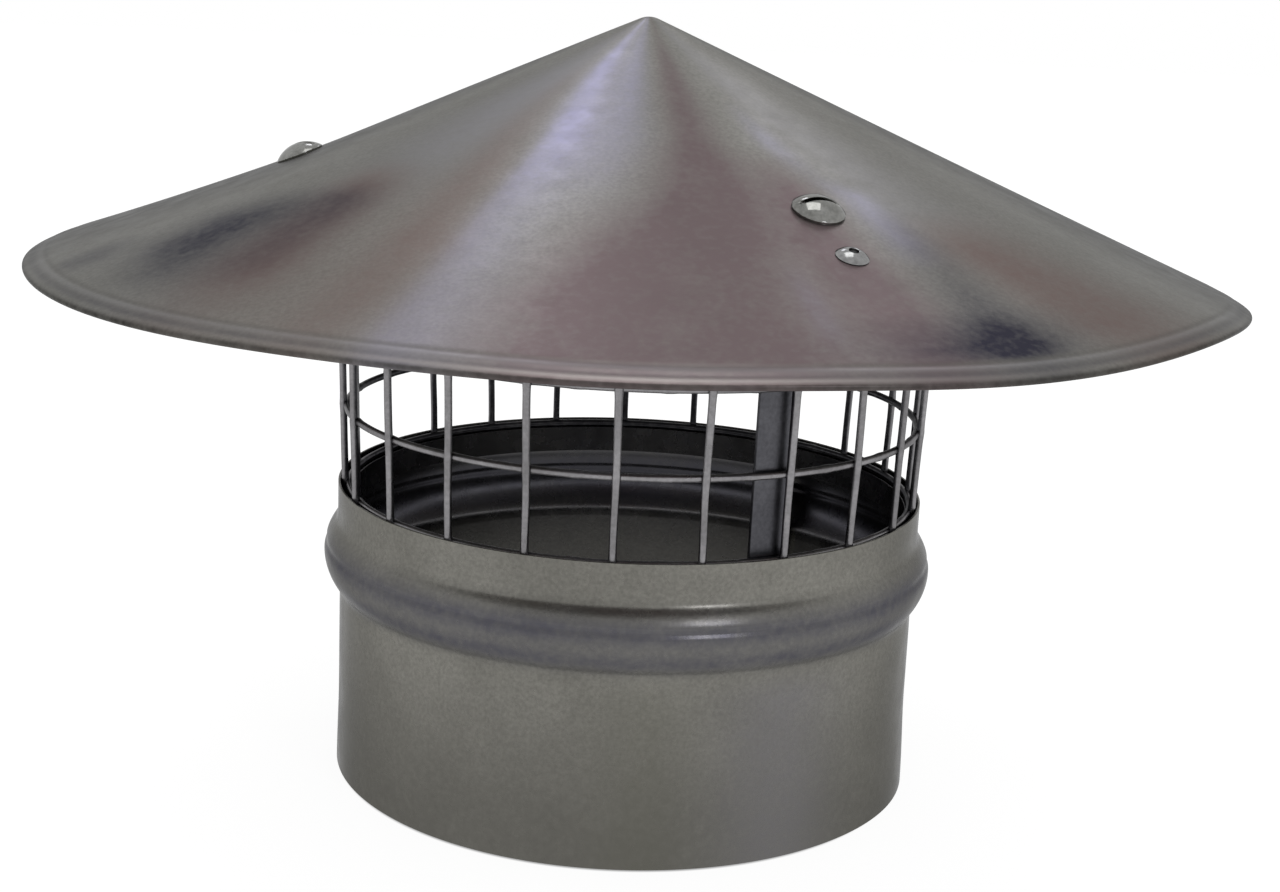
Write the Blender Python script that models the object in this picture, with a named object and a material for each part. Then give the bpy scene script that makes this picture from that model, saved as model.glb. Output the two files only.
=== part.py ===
"""Galvanised conical chimney cap with a bird mesh, for a 180 mm flue.

The collar stands on z = 0 with the flue's axis on Z. Three strap legs welded inside the collar
carry the hat, which each leg holds with one bolt and one rivet. A strip of welded wire mesh is
rolled into a cage between them, and its foot is caught between the collar and a clamp band.
"""
import math

import bmesh
import bpy
from mathutils import Matrix, Vector

# Stock: sheet, mesh wire and leg strap
SHEET = 0.0007
WIRE = 0.0022
STRAP = 0.0015
STRAP_WIDTH = 0.0100

# Clearance that touching pieces keep
CLEARANCE = 0.0003

# Collar: the spigot below the bead fits the flue, the part above it holds the mesh
COLLAR_RADIUS = 0.0900
COLLAR_HEIGHT = 0.0902
RIM_STEP = 0.0007
BEAD_CENTRE = 0.0680
BEAD_HEIGHT = 0.0200
BEAD_DEPTH = 0.0044

# Bird mesh: upright wires outside, rings inside, rolled up with its ends short of meeting
MESH_PITCH = 0.0247
MESH_WIRES = 22
MESH_START = math.radians(76.1)
MESH_SPLAY = 0.0022
MESH_FOOT = 0.0100
MESH_HEADROOM = 0.0050

# Clamp band inside the collar rim
BAND_HEIGHT = 0.0085
BAND_DROP = 0.0026

# Hat: a spun cone with a small round tip, a turned-down edge and a hem folded under it
HAT_RADIUS = 0.1812
HAT_ANGLE = math.radians(23.0)
EAVES_GAP = 0.0668
TIP_RADIUS = 0.0040
SHOULDER_WIDTH = 0.0080
SHOULDER_ANGLE = math.radians(36.0)
HEM_CREASE = 0.0003
HEM_WIDTH = 0.0050

# Depth to which each leg's bolt draws the hat down, and how far from the bolt that reaches
SEAT_DIPS = (0.0012, 0.0012, 0.0024)
SEAT_SPREAD = 0.0360

# How far the whole edge flares up off the cone, and where it stands higher or hangs lower:
# (height, azimuth, spread along the edge)
EDGE_RISE = 0.0025
EDGE_POWER = 4.5
EDGE_WAVES = (
    (0.0008, math.radians(-170.0), math.radians(30.0)),
    (0.0016, math.radians(-32.0), math.radians(17.0)),
    (-0.0026, math.radians(4.0), math.radians(14.0)),
)

# Legs: direction of each one's fixings, foot welded to the collar, flange under the hat
LEG_NAMES = ("front", "back", "left")
LEG_AZIMUTHS = (math.radians(-64.4), math.radians(54.1), math.radians(182.3))
LEG_FOOT = 0.0180
LEG_WELD = 0.0300
JOGGLE_RISE = 0.0240
STRAP_BEND = 0.0040
JOGGLE_BEND = 0.0060

# Turn of each straight flange, seen from above, off the line from the axis to its bolt
FLANGE_SKEW = math.radians(5.5)

# Places of the fixings and of the flange's end, as shares of the way from collar to hat edge
BOLT_SHARES = (0.178, 0.178, 0.148)
RIVET_SHARE = 0.415
FLANGE_SHARE = 0.560

# Legs that have a rivet outside their bolt
RIVETED_LEGS = ("front",)

# Fixings through hat and leg
BOLT_SHANK = 0.0060
BOLT_HEAD = 0.0144
BOLT_HEAD_HEIGHT = 0.0042
BOLT_END = 0.0030
SLOT_WIDTH = 0.0016
SLOT_DEPTH = 0.0018
SLOT_TURNS = (math.radians(-20.0), math.radians(35.0), math.radians(70.0))
NUT_ACROSS = 0.0100
NUT_HEIGHT = 0.0050
RIVET_SHANK = 0.0048
RIVET_HEAD = 0.0088
RIVET_HEAD_HEIGHT = 0.0019
RIVET_BULB = 0.0072
RIVET_BULB_HEIGHT = 0.0040
MANDREL = 0.0026
MANDREL_DISH = 0.0010

# Facets: round a full turn, then along the outlines
TURN_STEPS = 72
RING_STEPS = 60
WIRE_SIDES = 6
FIXING_STEPS = 12
BEAD_STEPS = 8
TIP_STEPS = 3
CONE_STEPS = 9
SHOULDER_STEPS = 3
HEM_STEPS = 4
FLANGE_STEPS = 7
BEND_STEPS = 4
BOLT_DOME_STEPS = 5
RIVET_DOME_STEPS = 3
SMOOTH_ANGLE = math.radians(35.0)
WIRE_SMOOTH_ANGLE = math.radians(65.0)

# Span over which the sheet's slope is taken at a fixing, and reach of the cutters past the metal
SLOPE_STEP = 0.0005
CUTTER_REACH = 0.0040

# Finishes: colour, metallic, roughness
ZINC_SHEET = ((0.36, 0.36, 0.34), 0.85, 0.45)
ZINC_WIRE = ((0.42, 0.41, 0.40), 0.85, 0.40)
ZINC_STRAP = ((0.30, 0.30, 0.31), 0.85, 0.50)
BRIGHT_ZINC = ((0.62, 0.62, 0.61), 1.0, 0.22)
RIVET_ALLOY = ((0.66, 0.66, 0.66), 1.0, 0.28)

UP = Vector((0.0, 0.0, 1.0))

# Heights and radii that follow from the sizes above
RIM_RADIUS = COLLAR_RADIUS + RIM_STEP
RIM_INSIDE = RIM_RADIUS - SHEET
HEM_RADIUS = SHEET + HEM_CREASE / 2.0
BAND_TOP = COLLAR_HEIGHT - BAND_DROP
HAT_EDGE = COLLAR_HEIGHT + EAVES_GAP
MESH_BOTTOM = COLLAR_HEIGHT - MESH_FOOT
OVERHANG = HAT_RADIUS - COLLAR_RADIUS
BOLT_PLACES = tuple(COLLAR_RADIUS + OVERHANG * share for share in BOLT_SHARES)
RIVET_PLACE = COLLAR_RADIUS + OVERHANG * RIVET_SHARE
FLANGE_END = COLLAR_RADIUS + OVERHANG * FLANGE_SHARE


def make_material(name, finish):
    """A plain metal finish with the piece's own colour."""
    colour, metallic, roughness = finish
    material = bpy.data.materials.new(name)
    material.use_nodes = True
    shader = material.node_tree.nodes["Principled BSDF"]
    shader.inputs["Base Color"].default_value = (*colour, 1.0)
    shader.inputs["Metallic"].default_value = metallic
    shader.inputs["Roughness"].default_value = roughness
    return material


def add_object(name, mesh, material):
    """Links a mesh to the scene as one named piece with its material."""
    piece = bpy.data.objects.new(name, mesh)
    bpy.context.scene.collection.objects.link(piece)
    if material is not None:
        mesh.materials.clear()
        mesh.materials.append(material)
    return piece


def finish_mesh(bm, name, smooth_angle=None):
    """Turns a bmesh into a mesh with outward faces, smooth where it is round."""
    bmesh.ops.recalc_face_normals(bm, faces=bm.faces)
    mesh = bpy.data.meshes.new(name)
    bm.to_mesh(mesh)
    bm.free()
    if smooth_angle is not None:
        mesh.shade_smooth()
        mesh.set_sharp_from_angle(angle=smooth_angle)
    return mesh


def turned_mesh(name, outline, steps, closed, move=None):
    """Spins an outline of (radius, height) points round Z; an open one starts and ends on Z."""
    bm = bmesh.new()
    points = [bm.verts.new((radius, 0.0, height)) for radius, height in outline]
    edges = [bm.edges.new(pair) for pair in zip(points, points[1:])]
    if closed:
        edges.append(bm.edges.new((points[-1], points[0])))
    bmesh.ops.spin(
        bm,
        geom=points + edges,
        cent=(0.0, 0.0, 0.0),
        axis=UP,
        angle=2.0 * math.pi,
        steps=steps,
        use_merge=True,
    )
    bmesh.ops.remove_doubles(bm, verts=bm.verts, dist=1e-6)
    if move is not None:
        for vert in bm.verts:
            vert.co.z += move(vert.co.x, vert.co.y)
    return finish_mesh(bm, name, SMOOTH_ANGLE)


def cut(piece, cutters):
    """Cuts each cutter out of the piece with a Boolean."""
    for cutter in cutters:
        modifier = piece.modifiers.new(cutter.name, "BOOLEAN")
        modifier.operation = "DIFFERENCE"
        modifier.solver = "EXACT"
        modifier.object = cutter


def as_cutter(piece):
    """Marks a piece as a tool that is not part of the cap."""
    piece.hide_render = True
    piece.display_type = "WIRE"
    return piece


# Collar
def bead_offset(height):
    """How far the bead stands out at a height: a shallow arc over a chord of BEAD_HEIGHT."""
    arc = (BEAD_HEIGHT**2 / 4.0 + BEAD_DEPTH**2) / (2.0 * BEAD_DEPTH)
    along = height - BEAD_CENTRE
    return math.sqrt(arc**2 - along**2) - (arc - BEAD_DEPTH)


def collar_wall(inset):
    """Wall line from the foot to the rim, inset from the outer face, with the bead's arc."""
    low = BEAD_CENTRE - BEAD_HEIGHT / 2.0
    points = [(COLLAR_RADIUS - inset, 0.0)]
    for i in range(BEAD_STEPS + 1):
        share = i / BEAD_STEPS
        height = low + BEAD_HEIGHT * 0.5 * (1.0 - math.cos(math.pi * share))
        radius = COLLAR_RADIUS + RIM_STEP * share - inset
        points.append((radius + bead_offset(height), height))
    points.append((RIM_RADIUS - inset, COLLAR_HEIGHT))
    return points


def build_collar(material):
    """One rolled sheet: straight spigot, swaged bead, short straight rim."""
    outline = collar_wall(0.0) + collar_wall(SHEET)[::-1]
    mesh = turned_mesh("collar", outline, TURN_STEPS, closed=True)
    return add_object("collar", mesh, material)


# Bird mesh and its clamp band
def wire_radius(height):
    """Distance of an upright wire's centre from the axis: it leans out above the rim."""
    at_rim = RIM_INSIDE - CLEARANCE - WIRE / 2.0
    return at_rim + MESH_SPLAY * (height - COLLAR_HEIGHT) / EAVES_GAP


def ring_radius(height):
    """Distance of a ring wire's centre from the axis, inside the uprights."""
    return wire_radius(height) - WIRE - CLEARANCE


def band_outside():
    """Outer radius of the clamp band, inside the feet of the uprights."""
    return wire_radius(MESH_BOTTOM) - WIRE / 2.0 - CLEARANCE


def ring_heights():
    """Ring centres: the lowest sits on the clamp band, the rest follow at the mesh pitch."""
    height = BAND_TOP + CLEARANCE + WIRE / 2.0
    heights = []
    while height + WIRE < mesh_top():
        heights.append(height)
        height += MESH_PITCH
    return heights


def mesh_top():
    """Upper end of the uprights, below the leg flanges that pass over them."""
    return flange_height(wire_radius(HAT_EDGE), LEG_AZIMUTHS[-1]) - STRAP / 2.0 - MESH_HEADROOM


def build_mesh_wires(material):
    """Upright wires, spaced at the mesh pitch from one cut end of the strip to the other."""
    low = Vector((wire_radius(MESH_BOTTOM), 0.0, MESH_BOTTOM))
    high = Vector((wire_radius(mesh_top()), 0.0, mesh_top()))
    bm = bmesh.new()
    bmesh.ops.create_cone(
        bm,
        cap_ends=True,
        segments=WIRE_SIDES,
        radius1=WIRE / 2.0,
        radius2=WIRE / 2.0,
        depth=(high - low).length,
    )
    mesh = finish_mesh(bm, "mesh_wire", WIRE_SMOOTH_ANGLE)
    lean = math.atan2(high.x - low.x, high.z - low.z)
    step = MESH_PITCH / wire_radius(COLLAR_HEIGHT)
    for i in range(MESH_WIRES):
        turn = Matrix.Rotation(MESH_START + step * i, 4, "Z")
        wire = add_object(f"mesh_wire_{i + 1:02d}", mesh, material)
        wire.matrix_world = turn @ Matrix.Translation((low + high) / 2.0) @ Matrix.Rotation(lean, 4, "Y")


def build_mesh_rings(material):
    """Ring wires, each welded to the inside of every upright."""
    for i, height in enumerate(ring_heights()):
        centre = ring_radius(height)
        outline = []
        for k in range(WIRE_SIDES):
            angle = 2.0 * math.pi * k / WIRE_SIDES
            outline.append((centre + WIRE / 2.0 * math.cos(angle), WIRE / 2.0 * math.sin(angle)))
        mesh = turned_mesh("mesh_ring", outline, RING_STEPS, closed=True)
        ring = add_object(f"mesh_ring_{i + 1}", mesh, material)
        ring.location.z = height


def build_band(material):
    """Plain strip rolled inside the rim, which traps the feet of the uprights."""
    outside = band_outside()
    inside = outside - SHEET
    low = BAND_TOP - BAND_HEIGHT
    outline = [(outside, low), (outside, BAND_TOP), (inside, BAND_TOP), (inside, low)]
    mesh = turned_mesh("mesh_clamp_band", outline, TURN_STEPS, closed=True)
    return add_object("mesh_clamp_band", mesh, material)


# Hat
def hat_warp(radius, azimuth):
    """How far the sheet stands off the plain cone: dips at the bolts, a flared and wavy edge."""
    rise = EDGE_RISE
    for height, centre, spread in EDGE_WAVES:
        away = math.remainder(azimuth - centre, 2.0 * math.pi)
        rise += height * math.exp(-((away / spread) ** 2))
    move = rise * (radius / HAT_RADIUS) ** EDGE_POWER
    for leg, place, depth in zip(LEG_AZIMUTHS, BOLT_PLACES, SEAT_DIPS):
        across = radius * math.cos(azimuth - leg) - place
        along = radius * math.sin(azimuth - leg)
        move -= depth * math.exp(-(across**2 + along**2) / SEAT_SPREAD**2)
    return move


def shoulder_start():
    """Radius where the cone ends and the edge begins to turn down."""
    return HAT_RADIUS - HEM_RADIUS * (1.0 - math.sin(SHOULDER_ANGLE)) - SHOULDER_WIDTH


def shoulder_drop():
    """Fall of the turned-down edge over its width."""
    return SHOULDER_WIDTH * math.tan((HAT_ANGLE + SHOULDER_ANGLE) / 2.0)


def cone_height(radius):
    """Height of the hat's upper face on the plain cone."""
    edge = HAT_EDGE - EDGE_RISE + HEM_RADIUS * (1.0 + math.cos(SHOULDER_ANGLE)) + shoulder_drop()
    return edge + (shoulder_start() - radius) * math.tan(HAT_ANGLE)


def hat_height(radius, azimuth):
    """Height of the hat's upper face over a leg's flange, with the dips."""
    return cone_height(radius) + hat_warp(radius, azimuth)


def hat_outline():
    """Half section of the sheet, from the tip out to the hem and back along the underside."""
    side = Vector((math.cos(HAT_ANGLE), -math.sin(HAT_ANGLE)))
    down = Vector((-math.sin(HAT_ANGLE), -math.cos(HAT_ANGLE)))
    tip = Vector((0.0, cone_height(0.0) - TIP_RADIUS / math.cos(HAT_ANGLE)))
    upper = []
    under = []
    for i in range(TIP_STEPS + 1):
        angle = HAT_ANGLE * i / TIP_STEPS
        reach = Vector((math.sin(angle), math.cos(angle)))
        upper.append(tip + reach * TIP_RADIUS)
        under.append(tip + reach * (TIP_RADIUS - SHEET))
    first = TIP_RADIUS * math.sin(HAT_ANGLE)
    for i in range(1, CONE_STEPS + 1):
        radius = first + (shoulder_start() - first) * i / CONE_STEPS
        point = Vector((radius, cone_height(radius)))
        upper.append(point)
        under.append(point + down * SHEET)
    point = upper[-1].copy()
    for i in range(SHOULDER_STEPS):
        angle = HAT_ANGLE + (SHOULDER_ANGLE - HAT_ANGLE) * (i + 1) / SHOULDER_STEPS
        side = Vector((math.cos(angle), -math.sin(angle)))
        down = Vector((-math.sin(angle), -math.cos(angle)))
        point = point + side * (SHOULDER_WIDTH / SHOULDER_STEPS / side.x)
        upper.append(point)
        under.append(point + down * SHEET)
    centre = upper[-1] + down * HEM_RADIUS
    fold = []
    for i in range(1, HEM_STEPS + 1):
        angle = math.pi * i / HEM_STEPS
        fold.append(centre - down * HEM_RADIUS * math.cos(angle) + side * HEM_RADIUS * math.sin(angle))
    hem_under = centre + down * HEM_RADIUS - side * HEM_WIDTH
    hem_upper = hem_under - down * SHEET
    fold_inside = centre + down * HEM_CREASE / 2.0
    return upper + fold + [hem_under, hem_upper, fold_inside] + under[::-1]


def build_hat(material, cutters):
    """The spun hat, drawn down at its fixings, with a hole for each of them."""
    outline = [(point.x, point.y) for point in hat_outline()]

    def move(x, y):
        return hat_warp(math.hypot(x, y), math.atan2(y, x))

    mesh = turned_mesh("hat", outline, TURN_STEPS, closed=False, move=move)
    hat = add_object("hat", mesh, material)
    cut(hat, cutters)
    return hat


# Legs
def flange_height(radius, azimuth):
    """Centre line of a leg's flange, just under the hat."""
    below = SHEET + CLEARANCE + STRAP / 2.0
    return hat_height(radius, azimuth) - below / math.cos(HAT_ANGLE)


def chord_face(radius):
    """Distance from the axis of a flat strap's face, resting inside a round wall."""
    facet = radius * math.cos(math.pi / RING_STEPS)
    return math.sqrt(facet**2 - STRAP_WIDTH**2 / 4.0) - CLEARANCE


def foot_radius():
    """Distance from the axis of a leg's centre line where it is welded to the collar."""
    return chord_face(COLLAR_RADIUS - SHEET) - STRAP / 2.0


def shaft_radius(height):
    """Distance from the axis of a leg's centre line inside the rings, leaning out as they do."""
    return chord_face(ring_radius(height) - WIRE / 2.0) - STRAP / 2.0


def leg_path(azimuth):
    """Centre line of a leg in its upright plane, as (distance, height, bend radius)."""
    weld_top = LEG_FOOT + LEG_WELD
    joggle_top = weld_top + JOGGLE_RISE
    corner = shaft_radius(HAT_EDGE)
    path = [
        (foot_radius(), LEG_FOOT, 0.0),
        (foot_radius(), weld_top, JOGGLE_BEND),
        (shaft_radius(joggle_top), joggle_top, JOGGLE_BEND),
        (corner, flange_height(corner, azimuth), STRAP_BEND),
    ]
    bend_end = corner + STRAP_BEND * 2.0
    for i in range(FLANGE_STEPS):
        radius = bend_end + (FLANGE_END - bend_end) * i / (FLANGE_STEPS - 1)
        path.append((radius, flange_height(radius, azimuth), 0.0))
    return path


def flange_turn(radius, bolt_place):
    """Turn about the axis, at a radius, of a leg whose flange runs straight but askew to its bolt."""
    return FLANGE_SKEW * (bolt_place / max(radius, foot_radius()) - 1.0)


def bent_line(path):
    """Replaces each corner that has a bend radius by an arc tangent to both its sides."""
    points = [Vector(place[:2]) for place in path]
    line = [points[0]]
    for i in range(1, len(points) - 1):
        bend = path[i][2]
        if bend == 0.0:
            line.append(points[i])
            continue
        before = (points[i - 1] - points[i]).normalized()
        after = (points[i + 1] - points[i]).normalized()
        half = before.angle(after) / 2.0
        middle = (before + after).normalized()
        centre = points[i] + middle * (bend / math.sin(half))
        start = points[i] + before * (bend / math.tan(half)) - centre
        turn = math.pi - 2.0 * half
        sign = 1.0 if before.cross(after) < 0.0 else -1.0
        for k in range(BEND_STEPS + 1):
            angle = sign * turn * k / BEND_STEPS
            spun = Matrix.Rotation(angle, 2) @ start
            line.append(centre + spun)
    line.append(points[-1])
    return line


def thick_outline(line, thickness):
    """Closed outline of a strip seen edge on: the line moved half the thickness each way."""
    left = []
    right = []
    for i, point in enumerate(line):
        before = line[max(i - 1, 0)]
        after = line[min(i + 1, len(line) - 1)]
        arriving = (point - before).normalized() if i > 0 else (after - point).normalized()
        leaving = (after - point).normalized() if i < len(line) - 1 else arriving
        tangent = (arriving + leaving).normalized()
        normal = Vector((-tangent.y, tangent.x)) / tangent.dot(arriving)
        left.append(point + normal * thickness / 2.0)
        right.append(point - normal * thickness / 2.0)
    return left + right[::-1]


def build_leg(name, azimuth, bolt_place, material, cutters):
    """One strap leg: bent from flat strip, its outline extruded across its width."""
    outline = thick_outline(bent_line(leg_path(azimuth)), STRAP)
    bm = bmesh.new()
    points = [bm.verts.new((point.x, -STRAP_WIDTH / 2.0, point.y)) for point in outline]
    face = bm.faces.new(points)
    grown = bmesh.ops.extrude_face_region(bm, geom=[face])
    moved = [item for item in grown["geom"] if isinstance(item, bmesh.types.BMVert)]
    bmesh.ops.translate(bm, verts=moved, vec=(0.0, STRAP_WIDTH, 0.0))
    bmesh.ops.triangulate(bm, faces=bm.faces)
    for vert in bm.verts:
        vert.co.rotate(Matrix.Rotation(flange_turn(vert.co.x, bolt_place), 3, "Z"))
    mesh = finish_mesh(bm, name, SMOOTH_ANGLE)
    leg = add_object(name, mesh, material)
    leg.rotation_euler.z = azimuth
    cut(leg, cutters)
    return leg


# Bolts, nuts and rivets
def seat_matrix(radius, azimuth):
    """Frame of a fixing: origin on the hat's upper face, Z square to the sheet, X outwards."""
    further = hat_height(radius + SLOPE_STEP, azimuth)
    nearer = hat_height(radius - SLOPE_STEP, azimuth)
    rise = (further - nearer) / (2.0 * SLOPE_STEP)
    outward = Vector((math.cos(azimuth), math.sin(azimuth), rise)).normalized()
    sideways = Vector((-math.sin(azimuth), math.cos(azimuth), 0.0))
    normal = outward.cross(sideways)
    place = Vector((radius * math.cos(azimuth), radius * math.sin(azimuth), hat_height(radius, azimuth)))
    turn = Matrix((outward, sideways, normal)).transposed().to_4x4()
    return Matrix.Translation(place) @ turn


def grip():
    """Thickness that a fixing clamps: hat, leg and the clearance on both their lower faces."""
    return SHEET + STRAP + 2.0 * CLEARANCE


def dome_points(radius, height, first, steps):
    """Half section of a domed head's face, from the distance first off its axis to its edge."""
    ball = (radius**2 + height**2) / (2.0 * height)
    full = math.asin(radius / ball)
    start = math.asin(first / ball)
    points = []
    for i in range(steps + 1):
        angle = start + (full - start) * i / steps
        points.append((ball * math.sin(angle), CLEARANCE + height - ball * (1.0 - math.cos(angle))))
    return points


def bolt_outline():
    """Half section of a mushroom-head bolt, from the top of its head to the end of its shank."""
    head = dome_points(BOLT_HEAD / 2.0, BOLT_HEAD_HEIGHT, 0.0, BOLT_DOME_STEPS)
    end = -(grip() + NUT_HEIGHT + BOLT_END)
    return head + [(BOLT_SHANK / 2.0, CLEARANCE), (BOLT_SHANK / 2.0, end), (0.0, end)]


def rivet_outline():
    """Half section of a set blind rivet: dished mandrel hole, domed head, shank and bulb."""
    dish = CLEARANCE + RIVET_HEAD_HEIGHT - MANDREL_DISH
    hole = [(0.0, dish), (MANDREL / 2.0, dish)]
    head = dome_points(RIVET_HEAD / 2.0, RIVET_HEAD_HEIGHT, MANDREL / 2.0, RIVET_DOME_STEPS)
    top = -grip()
    bottom = top - RIVET_BULB_HEIGHT
    shank = [(RIVET_SHANK / 2.0, CLEARANCE), (RIVET_SHANK / 2.0, top)]
    middle = (top + bottom) / 2.0
    bulb = [(RIVET_BULB / 2.0, top), (RIVET_BULB / 2.0, middle), (RIVET_BULB / 4.0, bottom), (0.0, bottom)]
    return hole + head + shank + bulb


def build_bolt(name, seat, slot_turn, material):
    """Bolt with a driving slot across its head, left turned as it was tightened."""
    mesh = turned_mesh(name, bolt_outline(), FIXING_STEPS, closed=False)
    bolt = add_object(name, mesh, material)
    bolt.matrix_world = seat
    bm = bmesh.new()
    bmesh.ops.create_cube(bm, size=1.0)
    bmesh.ops.scale(bm, vec=(SLOT_WIDTH, BOLT_HEAD + CUTTER_REACH, SLOT_DEPTH * 2.0), verts=bm.verts)
    slot = as_cutter(add_object(f"{name}_slot_cutter", finish_mesh(bm, "slot"), None))
    top = Matrix.Translation((0.0, 0.0, CLEARANCE + BOLT_HEAD_HEIGHT))
    slot.matrix_world = seat @ top @ Matrix.Rotation(slot_turn, 4, "Z")
    cut(bolt, [slot])
    return bolt


def build_nut(name, seat, material):
    """Hexagon nut under the leg's flange."""
    bore = BOLT_SHANK / 2.0 + CLEARANCE
    corner = NUT_ACROSS / 2.0 / math.cos(math.pi / 6.0)
    top = -grip()
    outline = [(corner, top), (bore, top), (bore, top - NUT_HEIGHT), (corner, top - NUT_HEIGHT)]
    bm = bmesh.new()
    loops = []
    for radius, height in outline:
        loop = []
        for k in range(FIXING_STEPS):
            angle = 2.0 * math.pi * k / FIXING_STEPS
            # every second point of the outer loops lies on a flat, between two corners
            reach = NUT_ACROSS / 2.0 if radius == corner and k % 2 else radius
            loop.append(bm.verts.new((reach * math.cos(angle), reach * math.sin(angle), height)))
        loops.append(loop)
    for one, other in zip(loops, loops[1:] + loops[:1]):
        for k in range(len(one)):
            after = (k + 1) % len(one)
            bm.faces.new((one[k], one[after], other[after], other[k]))
    nut = add_object(name, finish_mesh(bm, name), material)
    nut.matrix_world = seat
    return nut


def build_rivet(name, seat, material):
    """Blind rivet set through the hat and the leg's flange."""
    mesh = turned_mesh(name, rivet_outline(), FIXING_STEPS, closed=False)
    rivet = add_object(name, mesh, material)
    rivet.matrix_world = seat
    return rivet


def hole_cutter(name, shank, seat):
    """Cutter of a fixing's clearance hole through hat and leg."""
    bm = bmesh.new()
    hole = (shank / 2.0 + CLEARANCE) / math.cos(math.pi / FIXING_STEPS)
    bmesh.ops.create_cone(
        bm,
        cap_ends=True,
        segments=FIXING_STEPS,
        radius1=hole,
        radius2=hole,
        depth=2.0 * (grip() + CUTTER_REACH),
    )
    cutter = as_cutter(add_object(name, finish_mesh(bm, name), None))
    cutter.matrix_world = seat
    return cutter


for old in list(bpy.data.objects):
    bpy.data.objects.remove(old)

zinc_sheet = make_material("galvanised_sheet", ZINC_SHEET)
zinc_wire = make_material("galvanised_wire", ZINC_WIRE)
zinc_strap = make_material("galvanised_strap", ZINC_STRAP)
bright_zinc = make_material("bright_zinc_bolt", BRIGHT_ZINC)
rivet_alloy = make_material("rivet_alloy", RIVET_ALLOY)

build_collar(zinc_sheet)
build_band(zinc_sheet)
build_mesh_wires(zinc_wire)
build_mesh_rings(zinc_wire)

hat_cutters = []
for leg_name, azimuth, place, slot_turn in zip(LEG_NAMES, LEG_AZIMUTHS, BOLT_PLACES, SLOT_TURNS):
    bolt_seat = seat_matrix(place, azimuth)
    holes = [hole_cutter(f"bolt_hole_{leg_name}", BOLT_SHANK, bolt_seat)]
    if leg_name in RIVETED_LEGS:
        rivet_seat = seat_matrix(RIVET_PLACE, azimuth + flange_turn(RIVET_PLACE, place))
        holes.append(hole_cutter(f"rivet_hole_{leg_name}", RIVET_SHANK, rivet_seat))
        build_rivet(f"rivet_{leg_name}", rivet_seat, rivet_alloy)
    hat_cutters += holes
    build_leg(f"leg_{leg_name}", azimuth, place, zinc_strap, holes)
    build_bolt(f"bolt_{leg_name}", bolt_seat, slot_turn, bright_zinc)
    build_nut(f"nut_{leg_name}", bolt_seat, bright_zinc)
build_hat(zinc_sheet, hat_cutters)
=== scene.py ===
"""Looks of the galvanised chimney cap: collar, clamp band, bird mesh, strap legs, hat and fixings."""

import math

import bmesh
import bpy
import numpy as np
from mathutils import Matrix, Vector


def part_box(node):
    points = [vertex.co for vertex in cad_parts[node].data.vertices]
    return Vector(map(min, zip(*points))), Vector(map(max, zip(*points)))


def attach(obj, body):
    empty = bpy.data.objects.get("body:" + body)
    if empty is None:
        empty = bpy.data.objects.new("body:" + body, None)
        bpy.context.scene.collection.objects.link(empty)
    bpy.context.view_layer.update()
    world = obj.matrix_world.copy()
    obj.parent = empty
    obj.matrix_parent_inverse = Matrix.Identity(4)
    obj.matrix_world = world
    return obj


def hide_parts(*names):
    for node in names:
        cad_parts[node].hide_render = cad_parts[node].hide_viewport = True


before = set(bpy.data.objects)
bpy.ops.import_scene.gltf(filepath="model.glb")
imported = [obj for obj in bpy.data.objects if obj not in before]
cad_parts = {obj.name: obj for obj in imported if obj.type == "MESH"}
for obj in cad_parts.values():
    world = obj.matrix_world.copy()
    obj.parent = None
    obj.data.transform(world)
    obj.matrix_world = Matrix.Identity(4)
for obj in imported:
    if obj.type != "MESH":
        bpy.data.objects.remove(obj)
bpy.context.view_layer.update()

# Collar
# One strip of galvanised sheet, rolled up and spot welded along a lap at the back. A double bead is
# swaged outwards near its upper end, and the rim above it is opened a little to take the mesh.
SHEET = 0.0007
COLLAR_RADIUS = 0.0900
COLLAR_TOP = 0.0902
RIM_STEP = 0.0007
BEAD_CENTRE = 0.0680
BEAD_CHORD = 0.0200
BEAD_DEPTH = 0.0044
BEAD_EASE = 0.0014
GROOVE_CENTRE = 0.0714
GROOVE_WIDTH = 0.0011
GROOVE_DEPTH = 0.00045
EDGE_ROUND = 0.00012
LAP_AZIMUTH = math.radians(55.5)
LAP_LENGTH = 0.018
LAP_STEP = 0.93 * SHEET
LAP_EDGE = 0.0003
SPOT_HEIGHTS = (0.010, 0.026, 0.042, 0.0835)
SPOT_FROM_EDGE = 0.006
SPOT_RADIUS = 0.0022
SPOT_DEPTH = 0.00022
# Where the foot is out of round: how far out, azimuth and spread in degrees, and the height where it ends
FOOT_SWELLS = ((0.0002, -10.0, 30.0, 0.200), (0.0010, -20.0, 24.0, 0.030), (0.0005, -166.0, 25.0, 0.025))
SWELL_HOLD = 0.050
SWELL_FADE = 0.010
# Heights and degrees between which the sheet is cut into finer faces, round the bead and the lap
BEAD_ZONE = (0.054, 0.082)
LAP_ZONE = (41.0, 62.0)
# Painted shade inside: everywhere, and added behind the bead over a width. Painted shade of the foot: most, and its
# top
INSIDE_SHADE = (0.25, 0.60, 0.012)
FOOT_SHADE = (0.9, 0.062)
# Bands of painted shade on the bead as strength, height and width, and patches of painted shade and
# reflection below it as strength, azimuth and width
BEAD_SHADE_BANDS = ((0.85, 0.0708, 0.0045), (0.80, 0.0622, 0.0034))
# The olive patch is painted shade, the violet one a painted reflection
OLIVE_SHADE_PATCH = (0.45, -85.0, 9.0)
VIOLET_REFLECTION_PATCH = (0.5, -59.0, 12.0)
SIDE_PATCH_TOP = 0.060
SIDE_PATCH_FADE = 0.012


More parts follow.
